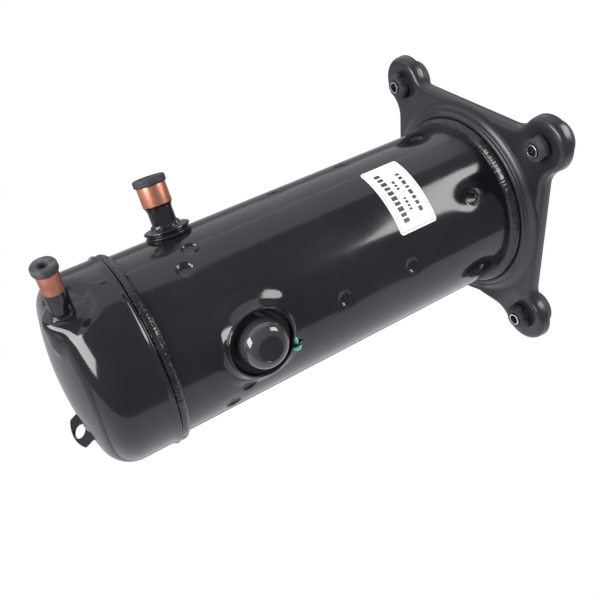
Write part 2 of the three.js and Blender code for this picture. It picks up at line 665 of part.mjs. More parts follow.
function buildDischargeSide() {
  add('discharge_valve_disc', disc(9, 386.3, 387.7, SMALL), STEEL);
  const guard = [[5, 391.2], [10.5, 391.2], [10.5, 386.3], [14, 386.3], [14, 393.2], [5, 393.2]];
  add('valve_guard', turned(guard, SMALL), STEEL);
  add('floating_seal', turned([
    [25.2, 379.3], [41, 379.3], [41, 390], [38, 391.5], [38, 396.6], [28, 396.6], [28, 391.5], [25.2, 390],
  ]), SEAL_PLASTIC);
  add('separator_plate', turned([
    [16, 398.3], [SHELL_R - GAP, 398.3], [SHELL_R - GAP, 401.5], [52, 401.5], [46, 408], [16, 408],
  ], FINE), CAST_IRON);
}

function buildOverloadProtector() {
  const place = outwardAt(250).multiplyScalar(58).setZ(264.5);
  add('overload_protector', disc(7.5, 0.3, 12, 16), DARK_PLASTIC).position.copy(place);
}

// ---------------------------------------------------------------- assembly

buildShell();
buildCaps();
buildWeldBeads();
buildBasePlate();
buildFeet();
buildLug();
buildSuction();
buildDischarge();
buildTerminal();
buildLabel();
buildStator();
buildWinding();
buildRotor();
buildCounterweights();
buildCrankshaft();
buildMainFrame();
buildLowerFrame();
buildFixedScroll();
buildOrbitingScroll();
buildOldhamRing();
buildDischargeSide();
buildOverloadProtector();

export default compressor;
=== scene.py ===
"""Looks for a hermetic scroll compressor: finished meshes, materials, soft light and the camera.

Lengths in the outlines are millimetres in the part's own frame (+Z up the shell axis, origin on the
floor under the feet); every mesh is scaled to metres when it is made.
"""
import json
import math
import random

import bmesh
import bpy
from mathutils import Matrix, Vector, noise
from mathutils.geometry import delaunay_2d_cdt


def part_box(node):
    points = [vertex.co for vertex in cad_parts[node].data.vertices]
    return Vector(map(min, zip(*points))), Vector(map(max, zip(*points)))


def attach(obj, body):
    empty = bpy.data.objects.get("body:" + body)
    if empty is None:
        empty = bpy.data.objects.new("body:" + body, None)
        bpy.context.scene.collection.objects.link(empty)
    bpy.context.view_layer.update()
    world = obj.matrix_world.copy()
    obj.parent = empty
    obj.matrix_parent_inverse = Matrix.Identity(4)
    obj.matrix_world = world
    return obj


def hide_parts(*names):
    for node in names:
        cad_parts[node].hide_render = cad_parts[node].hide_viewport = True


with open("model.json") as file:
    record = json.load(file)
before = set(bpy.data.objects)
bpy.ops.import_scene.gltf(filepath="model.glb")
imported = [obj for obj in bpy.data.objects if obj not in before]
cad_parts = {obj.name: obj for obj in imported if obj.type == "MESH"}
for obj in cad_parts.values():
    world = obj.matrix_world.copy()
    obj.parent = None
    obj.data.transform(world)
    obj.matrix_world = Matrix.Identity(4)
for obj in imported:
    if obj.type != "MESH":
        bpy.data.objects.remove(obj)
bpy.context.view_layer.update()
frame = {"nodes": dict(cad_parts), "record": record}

MM = 0.001
UP = Vector((0, 0, 1))


def high(node, axis):
    """The highest coordinate of a CAD node along an axis, in millimetres."""
    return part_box(node)[1][axis] / MM


def low(node, axis):
    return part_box(node)[0][axis] / MM


# ---------------------------------------------------------------- driving dimensions, some read from the frame

SHELL_R = high("shell", 0)
SHELL_WALL = 3.0
SHELL_LOW, SHELL_TOP = low("shell", 2), high("shell", 2)
CAP_R = high("top_cap", 0) + 0.7
CAP_SKIRT = low("top_cap", 2)
CAP_KNEE, CAP_KNUCKLE, CAP_CROWN_R, CAP_WALL = 424.5, 27.0, 260.0, 2.4
KNUCKLE_RING = CAP_R - CAP_KNUCKLE
CROWN_EDGE = math.asin(KNUCKLE_RING / (CAP_CROWN_R - CAP_KNUCKLE))
CROWN_CENTRE = CAP_KNEE - (CAP_CROWN_R - CAP_KNUCKLE) * math.cos(CROWN_EDGE)
BOTTOM_LOW = low("bottom_cap", 2)
BOTTOM_SKIRT = high("bottom_cap", 2)
PLATE_TOP = 24.0
PLATE_LOW = low("base_plate", 2)
PLATE_SHEET = 4.0
FOOT = 95.25
FOOT_HOLE_R = 10.0
EDGE_HALF, EAR_R, EAR_CENTRE, EAR_FILLET = 102.0, 25.5, 96.5, 22.0

TERMINAL_AZIMUTH, TERMINAL_Z = 15.0, 312.7
SUCTION_AZIMUTH, SUCTION_Z = 113.0, 329.0
DISCHARGE_BASE = Vector((14.2, 76.5, 439.2))
DISCHARGE_WAY = Vector((0.055, 0.997, 0.055)).normalized()
SEAT_R, SEAT_EDGE, SEAT_DEPTH, SEAT_BLEND = 18.5, 7.0, 30.0, 14.0
LUG_AZIMUTH, LUG_TILT, LUG_ROOT_R, LUG_ROOT_Z = -100.5, 55.0, 65.9, 450.0
LUG_HALF_WIDTH, LUG_HOLE_R, LUG_HOLE_HEIGHT, LUG_SHEET = 17.0, 6.6, 8.9, 3.0
LABEL_AZIMUTHS, LABEL_Z = (34.5, 84.5), (116.0, 156.0)

# Staked and punched marks where the shell holds the stator, the frames and the bearing housing.
# Each mark is (azimuth, height, radius, depth of the soft dent round it, reach of that dent).
PITS = [(azimuth, z, 6.8, 0.5, 10) for z in (154, 227) for azimuth in (15, 107, 195, 287)]
PITS += [(azimuth, 71, 6.1, 1.7, 15) for azimuth in (-18, 38, 101, 160, 220, 280)]
for pad in (-20, 77, 160, 257):
    PITS += [(pad + 6.5, 328, 7.4, 0.5, 11), (pad - 6.5, 342, 7.4, 0.5, 11)]


# ---------------------------------------------------------------- materials

def put(node, values):
    """Sets a node's inputs by their names."""
    for name, value in values.items():
        node.inputs[name].default_value = value


def node_material(name, colour, roughness, *, second, metallic=0.0, specular=0.5, patch=20.0,
                  patch_from=0.45, patch_to=0.6, rough_spread=0.06, bump=0.05, bump_scale=300.0,
                  bump_depth=0.00005, stretch=(1, 1, 1)):
    """A Principled material with two colours mixed by noise, uneven roughness and a fine bump."""
    made = bpy.data.materials.new(name)
    made.use_nodes = True
    made.diffuse_color = (*colour, 1)
    nodes, links = made.node_tree.nodes, made.node_tree.links
    shader = nodes["Principled BSDF"]
    put(shader, {"Metallic": metallic, "Specular IOR Level": specular})
    place = nodes.new("ShaderNodeTexCoord")
    scale = nodes.new("ShaderNodeMapping")
    put(scale, {"Scale": stretch})
    links.new(place.outputs["Object"], scale.inputs["Vector"])

    patches = nodes.new("ShaderNodeTexNoise")
    put(patches, {"Scale": patch, "Detail": 6})
    links.new(scale.outputs["Vector"], patches.inputs["Vector"])
    ramp = nodes.new("ShaderNodeValToRGB")
    for stop, position, tone in zip(ramp.color_ramp.elements, (patch_from, patch_to), (colour, second)):
        stop.position = position
        stop.color = (*tone, 1)
    links.new(patches.outputs["Fac"], ramp.inputs["Fac"])
    links.new(ramp.outputs["Color"], shader.inputs["Base Color"])

    spread = nodes.new("ShaderNodeMapRange")
    put(spread, {"From Min": 0.3, "From Max": 0.7, "To Min": max(0.02, roughness - rough_spread),
                 "To Max": roughness + rough_spread})
    links.new(patches.outputs["Fac"], spread.inputs["Value"])
    links.new(spread.outputs["Result"], shader.inputs["Roughness"])

    grain = nodes.new("ShaderNodeTexNoise")
    put(grain, {"Scale": bump_scale, "Detail": 4})
    links.new(scale.outputs["Vector"], grain.inputs["Vector"])
    relief = nodes.new("ShaderNodeBump")
    put(relief, {"Strength": bump, "Distance": bump_depth})
    links.new(grain.outputs["Fac"], relief.inputs["Height"])
    links.new(relief.outputs["Normal"], shader.inputs["Normal"])
    return made


def speckled(material, colour, scale, share):
    """Adds small scattered specks, such as dust on paint, over a material's base colour."""
    nodes, links = material.node_tree.nodes, material.node_tree.links
    shader = nodes["Principled BSDF"]
    under = shader.inputs["Base Color"].links[0].from_socket
    cells = nodes.new("ShaderNodeTexVoronoi")
    put(cells, {"Scale": scale})
    place = nodes.new("ShaderNodeTexCoord")
    links.new(place.outputs["Object"], cells.inputs["Vector"])
    near = nodes.new("ShaderNodeMapRange")
    put(near, {"From Min": 0.06, "From Max": 0.12, "To Min": share, "To Max": 0.0})
    links.new(cells.outputs["Distance"], near.inputs["Value"])
    mix = nodes.new("ShaderNodeMix")
    mix.data_type = "RGBA"
    mix.inputs["B"].default_value = (*colour, 1)
    links.new(near.outputs["Result"], mix.inputs["Factor"])
    links.new(under, mix.inputs["A"])
    links.new(mix.outputs["Result"], shader.inputs["Base Color"])
    return material


PAINT = speckled(node_material(
    "gloss_black_paint", (0.010, 0.0098, 0.0128), 0.13, second=(0.0145, 0.0142, 0.0178),
    patch=14, patch_from=0.4, patch_to=0.7, rough_spread=0.04, bump=0.10, bump_scale=420,
    bump_depth=0.00008), (0.07, 0.07, 0.075), 210, 0.4)
PLATE_PAINT = node_material(
    "satin_black_paint", (0.020, 0.0198, 0.0235), 0.27, second=(0.026, 0.0256, 0.030),
    patch=16, patch_from=0.4, patch_to=0.7, rough_spread=0.05, bump=0.12, bump_scale=500,
    bump_depth=0.00008)
WELD_PAINT = node_material(
    "painted_weld", (0.012, 0.012, 0.014), 0.13, second=(0.02, 0.02, 0.023), patch=120,
    rough_spread=0.06, bump=0.25, bump_scale=600, bump_depth=0.0002)
COPPER = node_material(
    "drawn_copper", (0.62, 0.26, 0.18), 0.42, metallic=0.9, second=(0.42, 0.17, 0.12), patch=70,
    patch_from=0.36, patch_to=0.66, rough_spread=0.1, bump=0.16, bump_scale=900)
RUBBER = node_material(
    "moulded_rubber", (0.030, 0.031, 0.034), 0.62, specular=0.45, second=(0.042, 0.044, 0.048),
    patch=60, rough_spread=0.1, bump=0.3, bump_scale=900, bump_depth=0.0001)
CHALKY_RUBBER = node_material(
    "chalky_rubber", (0.040, 0.042, 0.045), 0.7, specular=0.4, second=(0.11, 0.115, 0.12), patch=130,
    patch_from=0.46, patch_to=0.72, rough_spread=0.12, bump=0.35, bump_scale=700, bump_depth=0.0001)
ZINC = node_material(
    "zinc_plate", (0.52, 0.55, 0.57), 0.3, metallic=1.0, second=(0.36, 0.39, 0.41), patch=90,
    rough_spread=0.1, bump=0.2, bump_scale=500, stretch=(1, 1, 0.15))
MINT = node_material(
    "mint_coating", (0.16, 0.66, 0.48), 0.3, metallic=0.35, second=(0.34, 0.80, 0.64), patch=160,
    rough_spread=0.08, bump=0.2, bump_scale=900)
LABEL = node_material(
    "label_film", (0.98, 0.98, 0.975), 0.42, second=(0.95, 0.95, 0.945), patch=40, rough_spread=0.05,
    bump=0.06, bump_scale=500)
INK = node_material(
    "label_ink", (0.03, 0.03, 0.032), 0.5, second=(0.07, 0.07, 0.075), patch=300, bump=0.02)
GLOSS_PLASTIC = node_material(
    "gloss_plastic", (0.040, 0.040, 0.043), 0.09, specular=0.75, second=(0.046, 0.046, 0.05),
    patch=30, rough_spread=0.02, bump=0.02, bump_scale=150)
MATTE_PLASTIC = node_material(
    "matte_plastic", (0.016, 0.016, 0.018), 0.5, specular=0.3, second=(0.024, 0.024, 0.027),
    patch=50, bump=0.2, bump_scale=800)
CAST_IRON = node_material(
    "cast_iron", (0.17, 0.17, 0.175), 0.5, metallic=0.85, second=(0.11, 0.11, 0.115), patch=70,
    rough_spread=0.12, bump=0.4, bump_scale=500, bump_depth=0.0002)
STEEL = node_material(
    "ground_steel", (0.56, 0.57, 0.59), 0.24, metallic=1.0, second=(0.45, 0.46, 0.48), patch=60,
    rough_spread=0.07, bump=0.08, bump_scale=900, stretch=(1, 1, 4))
LAMINATION = node_material(
    "laminated_steel", (0.30, 0.31, 0.33), 0.42, metallic=0.9, second=(0.20, 0.21, 0.22), patch=60,
    rough_spread=0.1, bump=0.5, bump_scale=40, bump_depth=0.0003, stretch=(0.02, 0.02, 60))
ALUMINIUM = node_material(
    "cast_aluminium", (0.66, 0.67, 0.69), 0.4, metallic=1.0, second=(0.52, 0.53, 0.55), patch=80,
    rough_spread=0.1, bump=0.3, bump_scale=500, bump_depth=0.0001)
BRONZE = node_material(
    "bearing_bronze", (0.56, 0.38, 0.17), 0.32, metallic=1.0, second=(0.42, 0.27, 0.12), patch=90,
    rough_spread=0.08, bump=0.1, bump_scale=700)
WINDING = node_material(
    "enamelled_wire", (0.46, 0.15, 0.06), 0.34, metallic=0.6, second=(0.30, 0.09, 0.04), patch=90,
    rough_spread=0.08, bump=0.7, bump_scale=220, bump_depth=0.0006)
SEAL_POLYMER = node_material(
    "seal_polymer", (0.30, 0.22, 0.12), 0.5, second=(0.24, 0.17, 0.09), patch=90, bump=0.1)


# ---------------------------------------------------------------- mesh making

def finish_piece(name, mesh, look, slot, body="root", replaces=(), sharp=38):
    """Puts a mesh in the scene with its material, ties it to its body, and hides the CAD nodes it
    replaces.
    """
    mesh.materials.append(look)
    shade(mesh, sharp)
    piece = bpy.data.objects.new(name, mesh)
    bpy.context.scene.collection.objects.link(piece)
    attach(piece, body)
    if replaces:
        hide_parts(*replaces)
    return piece


def mesh_from(name, points, faces, matrix=None):
    """A mesh from points in millimetres, placed by an optional matrix, also in millimetres."""
    mesh = bpy.data.meshes.new(name)
    place = matrix or Matrix.Identity(4)
    mesh.from_pydata([(place @ Vector(p)) * MM for p in points], [], faces)
    work = bmesh.new()
    work.from_mesh(mesh)
    bmesh.ops.remove_doubles(work, verts=work.verts, dist=0.001 * MM)
    bmesh.ops.dissolve_degenerate(work, dist=0.0005 * MM, edges=work.edges)
    bmesh.ops.recalc_face_normals(work, faces=work.faces)
    work.to_mesh(mesh)
    work.free()
    return mesh


def rounded(corners, steps=5):
    """A closed outline from corners (r, z, fillet), with each corner rounded to its fillet radius."""
    outline = []
    count = len(corners)
    for i, (r, z, fillet) in enumerate(corners):
        here = Vector((r, z))
        before = Vector(corners[i - 1][:2]) - here
        after = Vector(corners[(i + 1) % count][:2]) - here
        if fillet <= 0 or before.length < 1e-6 or after.length < 1e-6:
            outline.append((r, z))
            continue
        half = before.angle(after) / 2
        reach = min(fillet / math.tan(half), before.length * 0.49, after.length * 0.49)
        start = here + before.normalized() * reach
        end = here + after.normalized() * reach
        for k in range(steps + 1):
            t = k / steps
            point = start * (1 - t) ** 2 + here * 2 * t * (1 - t) + end * t ** 2
            outline.append((point.x, point.y))
    return outline


def lathe(name, corners, sides=96, matrix=None, wobble=None, steps=5):
    """A solid of revolution about Z from a closed outline; wobble(angle, r, z) may move its points."""
    outline = rounded(corners, steps)
    rows = len(outline)
    points, faces = [], []
    for i in range(sides):
        angle = 2 * math.pi * i / sides
        for r, z in outline:
            if wobble:
                r, z = wobble(angle, r, z)
            points.append((r * math.cos(angle), r * math.sin(angle), z))
        for j in range(rows):
            a, b = i * rows + j, i * rows + (j + 1) % rows
            c, d = (b + rows) % (sides * rows), (a + rows) % (sides * rows)
            if max(outline[j][0], outline[(j + 1) % rows][0]) > 1e-9:
                faces.append((a, b, c, d))
    return mesh_from(name, points, faces, matrix)


def turned(name, look, slot, outline, sides, matrix=None, wobble=None, steps=5, sharp=50, **ties):
    """A finished piece that is a solid of revolution."""
    return finish_piece(name, lathe(name, outline, sides, matrix, wobble, steps), look, slot,
                        sharp=sharp, **ties)


def band(first, second, count):
    """Four-cornered faces between two closed rings of points."""
    pairs = [(i, (i + 1) % count) for i in range(count)]
    return [(first + i, first + n, second + n, second + i) for i, n in pairs]


def circle_points(radius, sides, centre=(0, 0)):
    turns = [2 * math.pi * i / sides for i in range(sides)]
    return [(centre[0] + radius * math.cos(t), centre[1] + radius * math.sin(t)) for t in turns]


def shade(mesh, sharp):
    """Smooth shading, with the edges sharper than an angle in degrees left crisp."""
    mesh.shade_smooth()
    mesh.set_sharp_from_angle(angle=math.radians(sharp))


def outward(azimuth):
    return Vector((math.cos(math.radians(azimuth)), math.sin(math.radians(azimuth)), 0))


def radial_matrix(azimuth, height):
    """Local Z points straight out of the shell, local Y up and local X along the wall."""
    out = outward(azimuth)
    turn = Matrix((UP.cross(out), UP, out)).transposed().to_4x4()
    return Matrix.Translation((0, 0, height)) @ turn


def along_matrix(base, way):
    return Matrix.Translation(base) @ UP.rotation_difference(way).to_matrix().to_4x4()


def smooth_step(t):
    t = min(1.0, max(0.0, t))
    return t * t * (3 - 2 * t)


def cut(piece, cutter_mesh, sharp):
    """Cuts one mesh out of a piece for good."""
    tool = bpy.data.objects.new("cutter", cutter_mesh)
    bpy.context.scene.collection.objects.link(tool)
    modifier = piece.modifiers.new("cut", "BOOLEAN")
    modifier.operation = "DIFFERENCE"
    modifier.solver = "EXACT"
    modifier.object = tool
    depsgraph = bpy.context.evaluated_depsgraph_get()
    result = bpy.data.meshes.new_from_object(piece.evaluated_get(depsgraph))
    piece.modifiers.clear()
    piece.data = result
    bpy.data.objects.remove(tool)
    shade(piece.data, sharp)


def cylinder_between(radius, start, end, sides=64):
    way = Vector(end) - Vector(start)
    corners = [(0, 0, 0), (radius, 0, 0), (radius, way.length, 0), (0, way.length, 0)]
    return lathe("cutter", corners, sides, along_matrix(Vector(start), way.normalized()))


# ---------------------------------------------------------------- shell

def pit_depth(distance, radius, dent, reach):
    """How far the wall is pressed in at a distance from a punched mark's centre."""
    wide = dent * math.exp(-(distance / reach) ** 2)
    wall = 1.3 * (1 - smooth_step((distance - radius + 1.1) / 1.3))
    bowl = 1.4 * max(0.0, 1 - (distance / (radius - 0.4)) ** 2)
    lip = 0.12 * math.exp(-((distance - radius - 0.7) / 0.6) ** 2)
    return wide + wall + bowl - lip


def terminal_seat(across, rise):
    """How far the wall is pressed out round the terminal, to seat its fence."""
    flat_reach, fade = 30, 15
    distance = math.hypot(across, rise)
    if distance > flat_reach + fade + 1:
        return 0.0
    flat = SHELL_R + 0.9 - math.sqrt(SHELL_R ** 2 - min(across, SHELL_R) ** 2)
    return 0.55 * flat * (1 - smooth_step((distance - flat_reach) / fade))


def fine_lines(start, end, centres, reach, fine, coarse):
    """Grid positions from start to end, close together near the given centres."""
    lines = [start]
    while lines[-1] < end - fine:
        here = lines[-1]
        nearest = min((abs(here - c) for c in centres), default=1e9)
        step = fine if nearest < reach else min(coarse, fine + (nearest - reach) * 0.6)
        lines.append(here + step)
    lines[-1] = end
    return lines


def build_shell():
    turn, dent_reach = 360.0, 40
    mm_per_degree = 2 * math.pi * SHELL_R / turn
    centres = [(pit[0] % turn) * mm_per_degree for pit in PITS]
    centres += [c + turn * mm_per_degree for c in centres if c < 12]
    near_pit, fine = 8.3, 0.7
    around = fine_lines(0, turn * mm_per_degree, centres, near_pit, fine, 2.6)[:-1]
    heights = fine_lines(SHELL_LOW, SHELL_TOP, [pit[1] for pit in PITS], near_pit, fine, 3)
    points = []
    for s in around:
        angle = s / SHELL_R
        for z in heights:
            depth = 0.0
            for azimuth, pit_z, radius, dent, reach in PITS:
                if abs(z - pit_z) > dent_reach:
                    continue
                across = (s / mm_per_degree - azimuth + 180) % 360 - 180
                distance = math.hypot(across * mm_per_degree, z - pit_z)
                if distance < dent_reach:
                    depth += pit_depth(distance, radius, dent, reach)
            beside = ((s / mm_per_degree - TERMINAL_AZIMUTH + 180) % 360 - 180) * mm_per_degree
            r = SHELL_R - depth + terminal_seat(beside, z - TERMINAL_Z)
            points.append((r * math.cos(angle), r * math.sin(angle), z))
    rows, columns = len(heights), len(around)
    inner = len(points)
    for s in around:
        for z in (SHELL_LOW, SHELL_TOP):
            r = SHELL_R - SHELL_WALL
            points.append((r * math.cos(s / SHELL_R), r * math.sin(s / SHELL_R), z))
    faces = []
    for i in range(columns):
        n = (i + 1) % columns
        for j in range(rows - 1):
            faces.append((i * rows + j, n * rows + j, n * rows + j + 1, i * rows + j + 1))
        faces.append((inner + 2 * i + 1, inner + 2 * n + 1, inner + 2 * n, inner + 2 * i))
        faces.append((inner + 2 * i, inner + 2 * n, n * rows, i * rows))
        faces.append((i * rows + rows - 1, n * rows + rows - 1, inner + 2 * n + 1, inner + 2 * i + 1))
    mesh = mesh_from("shell_body", points, faces)
    shell = finish_piece("shell_body", mesh, PAINT, "shell_paint", replaces=("shell",), sharp=60)
    openings = ((TERMINAL_AZIMUTH, TERMINAL_Z, 19.0), (SUCTION_AZIMUTH, SUCTION_Z, 11.2))
    for azimuth, height, radius in openings:
        start = outward(azimuth) * 60 + UP * height
        cut(shell, cylinder_between(radius, start, start + outward(azimuth) * 40), 60)


def domed_line(inset, knuckle_steps, crown_steps):
    """The line of the domed cap, from the knee to the axis, moved inwards by `inset`."""
    line = []
    for i in range(knuckle_steps + 1):
        angle = (math.pi / 2 - CROWN_EDGE) * i / knuckle_steps
        reach = CAP_KNUCKLE - inset
        line.append((KNUCKLE_RING + reach * math.cos(angle), CAP_KNEE + reach * math.sin(angle)))
    for i in range(1, crown_steps + 1):
        angle = CROWN_EDGE * (1 - i / crown_steps)
        reach = CAP_CROWN_R - inset
        line.append((reach * math.sin(angle), CROWN_CENTRE + reach * math.cos(angle)))
    return line


def cap_distance(spot):
    """How far a spot is outside the plain domed cap; it is negative inside."""
    r = math.hypot(spot.x, spot.y)
    rise = spot.z - CAP_KNEE
    if rise <= 0:
        return r - CAP_R
    if r - KNUCKLE_RING > rise * math.tan(CROWN_EDGE):
        return math.hypot(r - KNUCKLE_RING, rise) - CAP_KNUCKLE
    return math.hypot(r, spot.z - CROWN_CENTRE) - CAP_CROWN_R


def blend_min(a, b, reach):
    """The smaller of two distances, with the edge between them rounded over `reach`."""
    near = max(reach - abs(a - b), 0.0) / reach
    return min(a, b) - near * near * reach / 4


def seated_distance(spot):
    """The cap's distance again, with the flat seat that is formed on it for the discharge tube."""
    away = spot - DISCHARGE_BASE
    lift = away.dot(DISCHARGE_WAY)
    beside = (away - DISCHARGE_WAY * lift).length
    over_side = beside - SEAT_R + SEAT_EDGE
    over_end = abs(lift + SEAT_DEPTH / 2) - SEAT_DEPTH / 2 + SEAT_EDGE
    boss = math.hypot(max(over_side, 0), max(over_end, 0)) + min(max(over_side, over_end), 0) - SEAT_EDGE
    sunk = -blend_min(-cap_distance(spot), max(beside - SEAT_R, 3.2 - lift), SEAT_BLEND)
    return blend_min(sunk, boss, SEAT_BLEND * 0.5)


def press_seat(mesh):
    """Moves the cap's two skins near the discharge tube until they lie on the seated form."""
    middle = DISCHARGE_BASE - DISCHARGE_WAY * 42
    for vertex in mesh.vertices:
        spot = vertex.co / MM
        if (spot - DISCHARGE_BASE).length > 46 or cap_distance(spot) > 0.5:
            continue
        depth = 0.0 if cap_distance(spot) > -0.5 * CAP_WALL else -CAP_WALL
        ray = (spot - middle).normalized()
        near, far = 0.0, 90.0
        for _ in range(24):
            half = (near + far) / 2
            if seated_distance(middle + ray * half) < depth:
                near = half
            else:
                far = half
        vertex.co = (middle + ray * near) * MM


def build_caps():
    # The skirt's end is swelled for the weld; each pair is added to the cap's radius and lower end.
    swell = [(-CAP_WALL, 0), (0.2, 0), (1.2, 0.2), (1.75, 0.7), (1.95, 1.3), (1.9, 1.8), (1.68, 2.3),
             (1.36, 2.8), (0.98, 3.4), (0.6, 4.1), (0.3, 4.9), (0.1, 6.0), (0.02, 8.0)]
    swell += [(0, rise) for rise in (10, 13, 16, 19, 22, 25, 28)]
    skirt = [(CAP_R + more, CAP_SKIRT + rise) for more, rise in swell]
    outer = domed_line(0, 44, 40)
    inner = domed_line(CAP_WALL, 30, 20)
    corners = [(r, z, 0) for r, z in skirt + outer + inner[::-1]]
    mesh = lathe("top_cap_shell", corners, 300)
    press_seat(mesh)
    cap = finish_piece("top_cap_shell", mesh, PAINT, "shell_paint", replaces=("top_cap",), sharp=50)
    start = DISCHARGE_BASE - DISCHARGE_WAY * 30
    cut(cap, cylinder_between(9.2, start, DISCHARGE_BASE + DISCHARGE_WAY * 30), 50)

    # A short raised witness mark that lines the cap up with the shell before welding.
    outline = [(0, -1, 0), (1.1, -1, 0), (1.1, 0.3, 0.3), (0.7, 0.75, 0.2), (0, 0.8, 0)]
    mark = lathe("cap_witness_mark", outline, 24)
    for vertex in mark.vertices:
        vertex.co.y *= 2.6
    mark.transform(to_metres(radial_matrix(82.4, 403.6) @ Matrix.Translation((0, 0, CAP_R - 0.05))))
    finish_piece("cap_witness_mark", mark, PAINT, "shell_paint")

    bend, bend_z = 13, BOTTOM_LOW + 15
    outer = []
    for i in range(15):
        angle = math.pi / 2 * i / 14
        outer.append((CAP_R - bend + bend * math.cos(angle), bend_z - bend * math.sin(angle)))
    outer += [(35, BOTTOM_LOW + 0.6), (0, BOTTOM_LOW)]
    inner = [(0, BOTTOM_LOW + 2.4), (CAP_R - bend, BOTTOM_LOW + 4.4), (CAP_R - 6, BOTTOM_LOW + 7),
             (CAP_R - CAP_WALL, bend_z), (CAP_R - CAP_WALL, BOTTOM_SKIRT)]
    corners = [(r, z, 0) for r, z in [(CAP_R, BOTTOM_SKIRT)] + outer + inner]
    turned("bottom_cap_shell", PAINT, "shell_paint", corners, 128, replaces=("bottom_cap",))


def to_metres(matrix):
    """A placing matrix in millimetres, for a mesh that is already in metres."""
    made = matrix.copy()
    made.translation = matrix.translation * MM
    return made


def weld_ring(name, node, profile, ripple, pitch, seed, sides=900):
    """A weld bead: a rounded section swept round the shell, with overlapping ripples and uneven edges."""
    low_z = min(z for _, z, _ in profile)
    high_z = max(z for _, z, _ in profile)
    low_r = min(r for r, _, _ in profile)
    waves = round(2 * math.pi * SHELL_R / pitch)

    def wave(angle, r, z):
        height = (z - low_z) / (high_z - low_z)
        swell = smooth_step((r - low_r) / 1.5)
        lag = 2.4 * (height - 0.5) ** 2
        spot = Vector((math.cos(angle) * 9, math.sin(angle) * 9, seed))
        jitter = noise.noise(spot * 3.1) * 1.6 + noise.noise(spot * 9) * 0.5
        phase = (angle * waves / (2 * math.pi) + lag + jitter) % 1.0
        share = 0.35 + 0.65 * smooth_step(0.5 + noise.noise(spot * 1.3) * 1.6)
        scale = ripple * share * (phase ** 0.5 - 0.6)
        drift = noise.noise(spot) * 0.6 + noise.noise(spot * 5) * 0.45
        grain = noise.noise(Vector((spot.x * 14, spot.y * 14, z * 1.9))) * 0.09
        wander = drift * 0.9 * (height - 0.5)
        return r + swell * (scale + drift * 0.4 + grain), z + wander

    turned(name, WELD_PAINT, "shell_paint", profile, sides, None, wave, 4, replaces=(node,), sharp=75)


def build_welds():
    inner = SHELL_R - 0.8
    middle = (384.6 + 392.9) / 2
    top = [(inner, 383.9, 0), (82.6, 384.0, 0.6), (84.9, 385.6, 1.5), (86.1, middle - 1.0, 2.4),
           (86.4, middle + 1.0, 2.4), (85.6, 391.6, 1.5), (84.4, 393.2, 0.6), (inner, 393.4, 0)]
    weld_ring("top_weld", "top_weld_bead", top, 0.55, 2.6, 3.0)
    base = [(inner, 29.5, 0), (88.4, 29.8, 1.0), (87.4, 33.4, 2.4), (84.4, 35.8, 2.0), (inner, 37.2, 0)]
    weld_ring("base_weld", "base_weld_bead", base, 0.3, 2.6, 11.0)


# ---------------------------------------------------------------- base plate

def arc_points(centre, radius, start, end, steps):
    """Points on an arc, from one angle to another the short way that the signs give."""
    made = []
    for i in range(steps + 1):
        angle = start + (end - start) * i / steps
        made.append((centre[0] + radius * math.cos(angle), centre[1] + radius * math.sin(angle)))
    return made


def plate_outline(inset):
    """The plate's outline, moved inwards: the same number of points for every inset."""
    edge, ear, fillet = EDGE_HALF - inset, EAR_R - inset, EAR_FILLET + inset
    reach = edge + fillet - EAR_CENTRE
    fillet_y = EAR_CENTRE - math.sqrt((fillet + ear) ** 2 - reach ** 2)
    lean = math.atan2(EAR_CENTRE - fillet_y, -reach)
    start = lean - math.pi
    corner = [(edge, fillet_y * k / 8) for k in range(-7, 8)]
    corner += arc_points((edge + fillet, fillet_y), fillet, math.pi, lean, 16)
    corner += arc_points((EAR_CENTRE, EAR_CENTRE), ear, start, math.pi / 2 - start, 44)[1:]
    corner += arc_points((fillet_y, edge + fillet), fillet, -math.pi / 2 - start, -math.pi / 2, 16)[1:]
    points = []
    for quarter in range(4):
        turn = Matrix.Rotation(quarter * math.pi / 2, 2)
        points += [tuple(turn @ Vector(p)) for p in corner]
    return points


def plate_section():
    """The plate's bent edge, as (inset from the outline, height), from the top round to the underside."""
    bend, lip_foot = 6.0, PLATE_LOW
    bend_z = PLATE_TOP - bend
    inner = PLATE_SHEET - 0.4
    section = []
    for i in range(9):
        angle = math.pi / 2 * i / 8
        section.append((bend * (1 - math.sin(angle)) - 0.4, bend_z + bend * math.cos(angle)))
    section += [(-0.6, bend_z - 2), (-0.9, lip_foot + 0.8), (-0.5, lip_foot + 0.15), (0.3, lip_foot),
                (inner - 0.8, lip_foot), (inner - 0.2, lip_foot + 0.6), (inner, bend_z)]
    for i in range(1, 5):
        angle = math.pi / 2 * i / 4
        section.append((inner + 2.4 * (1 - math.cos(angle)), bend_z + 2 * math.sin(angle)))
    return section


